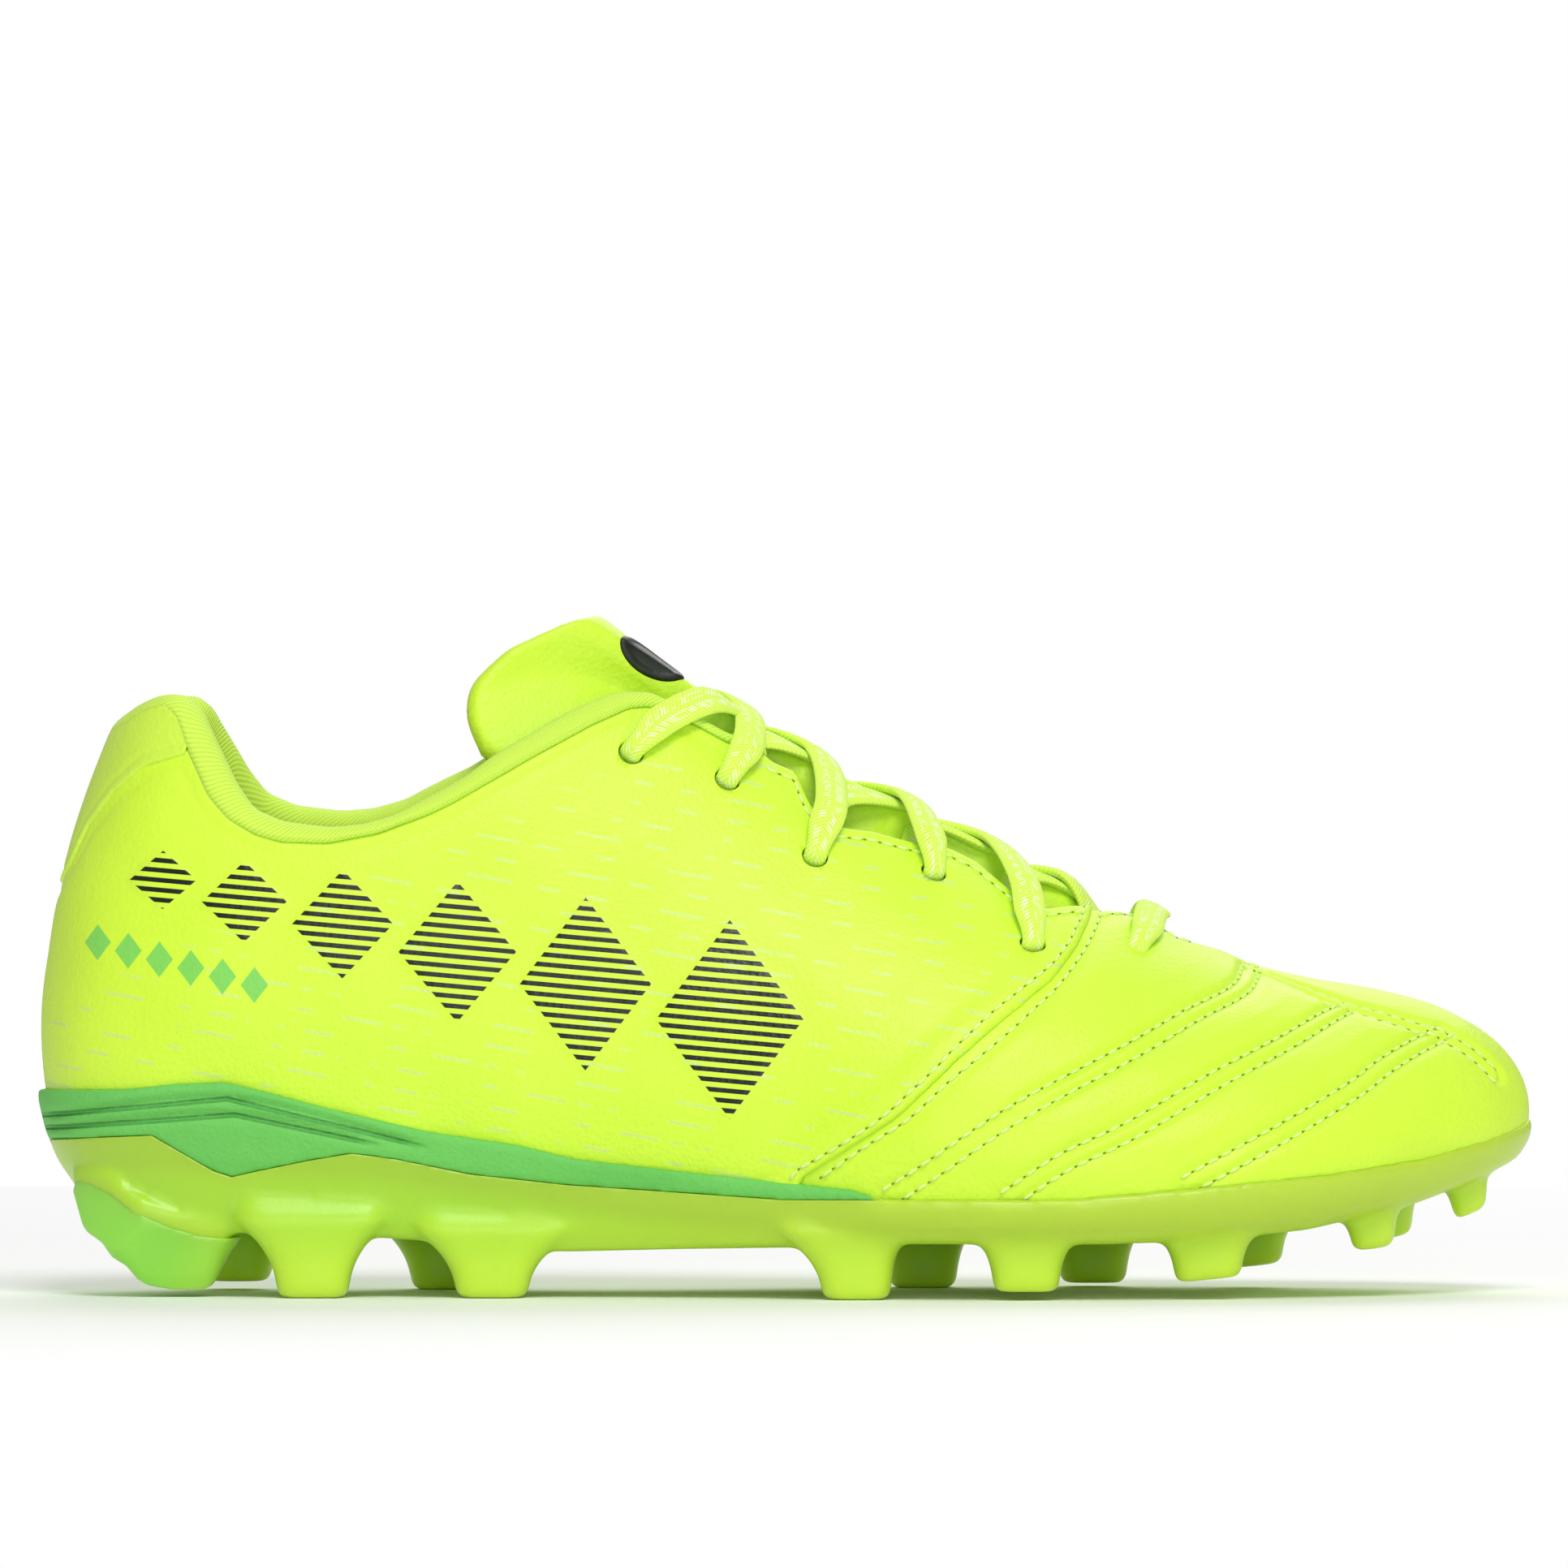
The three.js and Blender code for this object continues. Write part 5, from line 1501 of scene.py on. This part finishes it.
def foot_room(off=0.25, drop=0.0, rows=26):
    """Space inside the last surface moved out by off."""
    rings = []
    for t in np.linspace(0, 1, rows):
        def place(u, side, t=t):
            p, n = sheet(u, np.full_like(u, t), side)
            return p + n * off - np.array([0, 0, drop])
        rings.append(sole_ring(place))
    return loft_rings(rings)


def oval_ring(z, x0, x1, y0, y1, shear=0.0, corner=0.3, steps=7):
    r = min(x1 - x0, y1 - y0) * corner
    points = []
    for cx, cy, start in ((x1 - r, y1 - r, 0), (x0 + r, y1 - r, 90), (x0 + r, y0 + r, 180), (x1 - r, y0 + r, 270)):
        for a in np.linspace(0, 90, steps):
            angle = math.radians(start + a)
            x = cx + r * math.cos(angle)
            points.append((x, cy + r * math.sin(angle), z + (x - x0) * shear))
    return np.array(points)


def stud(x, y, deep=11, z=0.0, slope=0.0, flare=(5, 5)):
    root = max(PLATE_LINE(x[0]), PLATE_LINE(x[1])) + 2.4
    rings = []
    for f in (0, 0.03, 0.08, 0.2, 0.35, 0.5, 0.65, 0.78, 0.88, 0.95, 1.0):
        soft = -1.0 * (1 - min(f / 0.08, 1)) ** 2
        curve = f * f * (0.55 + 0.45 * f)
        wide = 1.7 * curve
        rings.append(oval_ring(z + (root - z) * f, x[0] - flare[0] * curve - soft, x[1] + flare[1] * curve + soft,
                               y - deep / 2 - wide - soft, y + deep / 2 + wide + soft, slope * (1 - f), 0.34))
    for rise, spread, wide in ((2.2, 1.07, 0.9), (5, 0.92, -0.9), (8, 0.66, -2.8), (11.5, 0.35, -4.5)):
        rings.append(oval_ring(root + rise, x[0] - flare[0] * spread, x[1] + flare[1] * spread,
                               y - deep / 2 - wide, y + deep / 2 + wide, 0, 0.34))
    verts = np.concatenate(rings)
    count = len(rings[0])
    faces = [tuple(f) for f in grid_faces(len(rings), count, wrap=True)]
    faces += [tuple(range(count))[::-1], tuple(range(count * (len(rings) - 1), count * len(rings)))]
    return verts, faces


def side_slab(outline, y0=-80, y1=80):
    """Side-view outline pulled straight through the shoe."""
    outline = np.array(outline, float)
    count = len(outline)
    verts = np.concatenate([np.column_stack([outline[:, 0], np.full(count, y), outline[:, 1]]) for y in (y0, y1)])
    faces = [(i, (i + 1) % count, (i + 1) % count + count, i + count) for i in range(count)]
    faces += [tuple(range(count))[::-1], tuple(range(count, 2 * count))]
    return verts, faces


def cutter(name, shape):
    obj = face_out(new_object(name, *shape, body=None))
    obj.hide_render = True
    return obj


def combine(obj, other, operation):
    step = obj.modifiers.new("shape", "BOOLEAN")
    step.object = other
    step.operation = operation
    step.solver = "MANIFOLD"
    apply_modifiers(obj)


def discard(*objects):
    for obj in objects:
        bpy.data.objects.remove(obj, do_unlink=True)


def remesh(obj, size, smooth=4, factor=0.5):
    step = obj.modifiers.new("remesh", "REMESH")
    step.mode = "VOXEL"
    step.voxel_size = size * MM
    step.use_smooth_shade = True
    soft = obj.modifiers.new("soften", "SMOOTH")
    soft.factor = factor
    soft.iterations = smooth
    apply_modifiers(obj)


CORNER_OUTLINE = [[-133.8, 22.3], [-131.2, 21.9], [-126.9, 19.9], [-122.1, 16.2], [-116.4, 13.6],
                  [-110.4, 11.7], [-104.4, 11.1], [-101.5, 11.9], [-103.8, 9.5], [-106.1, 5.1], [-108.4, 2],
                  [-109.5, 1.5], [-115.5, 1.4], [-120.1, 2.2], [-122.1, 3.4], [-124.1, 5.9], [-126.9, 7.5],
                  [-128.6, 10.2], [-131.8, 12.2], [-132.9, 13.9], [-135, 18.9]]
CORNER_LEVELS = [(0.6, -121, -108.5, -21, -11.5), (4, -124, -107, -23, -10), (8, -127.5, -105, -24.5, -9),
                 (13, -132.5, -101.5, -26.5, -7.5), (24, -136, -100, -28.5, -6.5)]


def corner_shape(grow=0.0):
    rings = [oval_ring(z, x0 - grow, x1 + grow, y0 - grow, y1 + grow) for z, x0, x1, y0, y1 in CORNER_LEVELS]
    verts = np.concatenate(rings)
    count = len(rings[0])
    faces = [tuple(f) for f in grid_faces(len(rings), count, wrap=True)]
    faces += [tuple(range(count))[::-1], tuple(range(count * (len(rings) - 1), count * len(rings)))]
    return verts, faces


def sole_pieces():
    """Outsole with studs, green heel stud and green foam wedge."""
    block = face_out(new_object("outsole_plate", *sole_block(), material=OUTSOLE_TPU))
    for spec in STUDS:
        one = cutter("one_stud", stud(**spec))
        combine(block, one, "UNION")
        discard(one)
    corner = cutter("corner_block", corner_shape())
    corner_cut = cutter("corner_outline", side_slab(CORNER_OUTLINE, -60, 0))
    combine(corner, corner_cut, "INTERSECT")
    outline = cutter("sole_outline", loft_rings([sole_ring(outline_place(z, 2.4)) for z in (-10, 60)]))
    combine(corner, outline, "INTERSECT")
    shoulder = cutter("corner_shoulder", corner_shape(-0.5))
    above = cutter("shoulder_outline", side_slab([[x, z + 3.2] for x, z in CORNER_OUTLINE], -60, 0))
    combine(shoulder, above, "INTERSECT")
    combine(shoulder, outline, "INTERSECT")
    combine(block, shoulder, "UNION")
    wedge = cutter("wedge_block", sole_block())
    wedge_zone = cutter("wedge_zone", side_slab([[-160, 28.6], *WEDGE_BOTTOM, [17.4, 60], [-160, 60]]))
    combine(wedge, wedge_zone, "INTERSECT")
    room = cutter("foot_room", foot_room())
    low = [[x, z - 0.06] for x, z in WEDGE_BOTTOM]
    wedge_room = cutter("wedge_room", side_slab([[-160, 28.54], *low, [17.46, 60], [-160, 60]]))
    corner_room = cutter("corner_room", corner_shape(-0.4))
    corner_slab = cutter("corner_slab", side_slab([[x, z - 0.6] for x, z in CORNER_OUTLINE], -60, 0))
    combine(corner_room, corner_slab, "INTERSECT")
    remesh(block, 0.85, 14)
    combine(block, room, "DIFFERENCE")
    combine(block, wedge_room, "DIFFERENCE")
    combine(block, corner_room, "DIFFERENCE")
    remesh(wedge, 0.7, 2)
    groove_wedge(wedge)
    combine(wedge, room, "DIFFERENCE")
    combine(wedge, corner_room, "DIFFERENCE")
    remesh(corner, 0.5, 3)
    for obj, name, material in ((wedge, "foam_wedge", EVA), (corner, "heel_corner", CORNER_TPU)):
        obj.name = name
        obj.hide_render = False
        obj.data.materials.clear()
        obj.data.materials.append(material)
        obj["body"] = "shoe"
    discard(outline, shoulder, above, corner_cut, wedge_zone, room, wedge_room, corner_room, corner_slab)
    return block, wedge, corner


WEDGE_GROOVES = [[[-139, 34.2], [-104.6, 37.5], [-66, 28.1]], [[-139.5, 31.7], [-103.2, 34.5], [-75, 28.6]]]


def groove_wedge(obj):
    """Two long moulded grooves in each side of the wedge."""
    mesh = obj.data
    co = np.empty(len(mesh.vertices) * 3, np.float32)
    mesh.vertices.foreach_get("co", co)
    p = co.reshape(-1, 3) / MM
    no = np.empty(len(mesh.vertices) * 3, np.float32)
    mesh.vertices.foreach_get("normal", no)
    n = no.reshape(-1, 3)
    for row in WEDGE_GROOVES:
        path = curve_through([(x, 0, z) for x, z in row], 0.6)
        flat = p.copy()
        flat[:, 1] = 0
        d = distance_to(flat, path)
        fade = smoothstep(0, 8, row[-1][0] - p[:, 0])
        depth = 1.0 * np.exp(-(d / 0.75) ** 2) * fade * (np.abs(n[:, 2]) < 0.85)
        p = p - n * depth[:, None]
    mesh.vertices.foreach_set("co", (p * MM).astype(np.float32).ravel())
    mesh.update()


# ---------------------------------------------------------------- inside
def bed_sheet(name, low, high, material, body, inset=4.9, dish=0.0):
    """Layer over the foot bed, following its side-view line, with a soft edge."""
    bed = line(FOOT_BED)
    us = np.linspace(0, 1, 200)
    across = np.linspace(0, 1, 61)
    edges = []
    for side in (-1, 1):
        p = surface(us, 0.06, side)
        n = normals(us, np.full_like(us, 0.06), side)
        edges.append(p - n * inset)
    left, right = edges
    grid = left[:, None] * (1 - across[None, :, None]) + right[:, None] * across[None, :, None]
    grid = grid[3:-3]
    side_share = np.abs(across * 2 - 1)[None, :]
    end_share = np.abs(np.linspace(-1, 1, len(grid)))[:, None]
    base = bed(grid[..., 0])
    cup = dish * side_share ** 4 + dish * 0.7 * np.clip((end_share - 0.9) / 0.1, 0, 1) ** 2 * (grid[..., 0] < 0)
    top, bottom = grid.copy(), grid.copy()
    top[..., 2] = base + high + cup
    bottom[..., 2] = base + low + cup * 0.9
    faces = grid_faces(*grid.shape[:2], flip=True)
    verts, all_faces = close_shell(top.reshape(-1, 3), bottom.reshape(-1, 3), faces)
    return face_out(new_object(name, verts, all_faces, body=body, material=material))


# ---------------------------------------------------------------- camera, light and floor
ROOM_LIGHT = 0.36
FLOOR_RADIUS = 800


def stage():
    angle = np.linspace(0, 2 * math.pi, 96, endpoint=False)
    ring = np.column_stack([np.cos(angle), np.sin(angle), np.zeros(96)]) * FLOOR_RADIUS
    floor = new_object("floor", ring, [tuple(range(96))], body=None)
    n = Nodes("pale_floor")
    tone = n.noise(300.0, 2.0)
    colour = n.mix(tone, srgb("#ffffff"), srgb("#fbfbfb"))
    floor.data.materials.append(n.finish(colour, 0.85))


def light(name, place, size, power, target=(0, 0, 0.05), colour="#ffffff"):
    data = bpy.data.lights.new(name, "AREA")
    data.size = size
    data.energy = power
    data.color = srgb(colour)[:3]
    obj = bpy.data.objects.new(name, data)
    obj.location = place
    obj.rotation_euler = (Vector(target) - Vector(place)).to_track_quat("-Z", "Y").to_euler()
    bpy.context.scene.collection.objects.link(obj)


def camera():
    data = bpy.data.cameras.new("view")
    data.lens = 229.0
    data.sensor_width = 36
    data.clip_start = 0.05
    obj = bpy.data.objects.new("view", data)
    obj.location = (-0.00035, -1.9, 0.070)
    look = Vector((-0.00035, 0, 0.0969)) - Vector(obj.location)
    obj.rotation_euler = look.to_track_quat("-Z", "Y").to_euler()
    bpy.context.scene.collection.objects.link(obj)
    bpy.context.scene.camera = obj


def studio():
    scene = bpy.context.scene
    scene.view_settings.view_transform = "Standard"
    world = bpy.data.worlds.new("studio")
    world.use_nodes = True
    tree = world.node_tree
    seen = tree.nodes["Background"]
    seen.inputs[0].default_value = srgb("#ffffff")
    seen.inputs[1].default_value = 1.0
    glow = tree.nodes.new("ShaderNodeBackground")
    glow.inputs[0].default_value = srgb("#ffffff")
    glow.inputs[1].default_value = ROOM_LIGHT
    path = tree.nodes.new("ShaderNodeLightPath")
    either = tree.nodes.new("ShaderNodeMixShader")
    tree.links.new(path.outputs["Is Camera Ray"], either.inputs[0])
    tree.links.new(glow.outputs[0], either.inputs[1])
    tree.links.new(seen.outputs[0], either.inputs[2])
    tree.links.new(either.outputs[0], tree.nodes["World Output"].inputs[0])
    scene.world = world
    light("key", (0.3, -1.5, 1.9), 1.0, 29)
    light("low", (0.15, -1.9, 0.2), 1.0, 9)
    light("back", (0.2, 1.6, 1.5), 1.6, 20)
    stage()
    camera()


# ---------------------------------------------------------------- build
studio()
holes = hole_cutters()
quarters, seams, throats = [], {}, {}
for side, name in SIDES:
    piece, seam, top = quarter(side, name)
    punch(piece, holes)
    quarters.append(piece)
    seams[side] = seam
    throats[side] = top
forefoot = vamp()
punch(forefoot, holes)
patch, patch_seams = heel_patch()
roll = collar_roll()
lining = inner_lining()
punch(lining, holes)
discard(holes)
tongue_pad, tongue_p, tongue_n, tongue_off = tongue()
badge = tongue_badge(tongue_p, tongue_n, tongue_off)
lace_piece, lace_length = lace()
plate, wedge, corner = sole_pieces()
sock = bed_sheet("sock_foam", 2.1, 6.1, PALE_FOAM, "insole", 5.1, 1.2)
sock_cloth = bed_sheet("sock_top", 6.3, 7.1, SOCK_CLOTH, "insole", 5.1, 1.2)
board = bed_sheet("lasting_board", 0.3, 1.8, PALE_FOAM, "shoe", 5.2)

for path in QUILT_LINES:
    way = way_out(path)
    for offset in (-STITCH_ROW, STITCH_ROW):
        sew(beside(path, way, offset), lambda row, path=path, way=way: np.stack(
            [np.interp(path_length(row) / path_length(row)[-1], path_length(path) / path_length(path)[-1],
                       way[:, k]) for k in range(3)], 1), lift=-0.35)
settle_rows(ROWS["shoe"], [quarters[0], quarters[1], forefoot], 0.13)
sewn = sewn_pieces("upper", "shoe")

PIECES = [
    (quarters[0], ["quarter_lateral"], "upper_synthetic"),
    (quarters[1], ["quarter_medial"], "upper_synthetic"),
    (forefoot, ["vamp"], "upper_synthetic"),
    (patch, ["heel_panel"], "heel_panel_synthetic"),
    (roll, ["collar_binding"], "binding_twill"),
    (lining, ["quarter_lining", "collar_foam", "heel_counter", "eyestay_backing", "vamp_lining", "vamp_foam",
              "toe_puff"], "lining_mesh"),
    (tongue_pad, ["tongue_face", "tongue_foam", "tongue_lining"], "tongue_synthetic"),
    (badge, ["tongue_badge"], "badge_print"),
    (lace_piece, ["lace"], "lace_polyester"),
    (plate, ["outsole"], "outsole_tpu"),
    (wedge, ["midsole_wedge"], "midsole_eva"),
    (corner, ["heel_corner_stud"], "heel_corner_tpu"),
    (sock, ["sockliner"], "sockliner_foam"),
    (sock_cloth, ["sockliner_cover"], "sockliner_top_cloth"),
    (board, ["insole_board"], "insole_fibreboard"),
]
for obj, nodes, material_slot in PIECES:
    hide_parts(*nodes)
for obj in list(bpy.context.scene.objects):
    if "body" in obj:
        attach(obj, obj["body"])
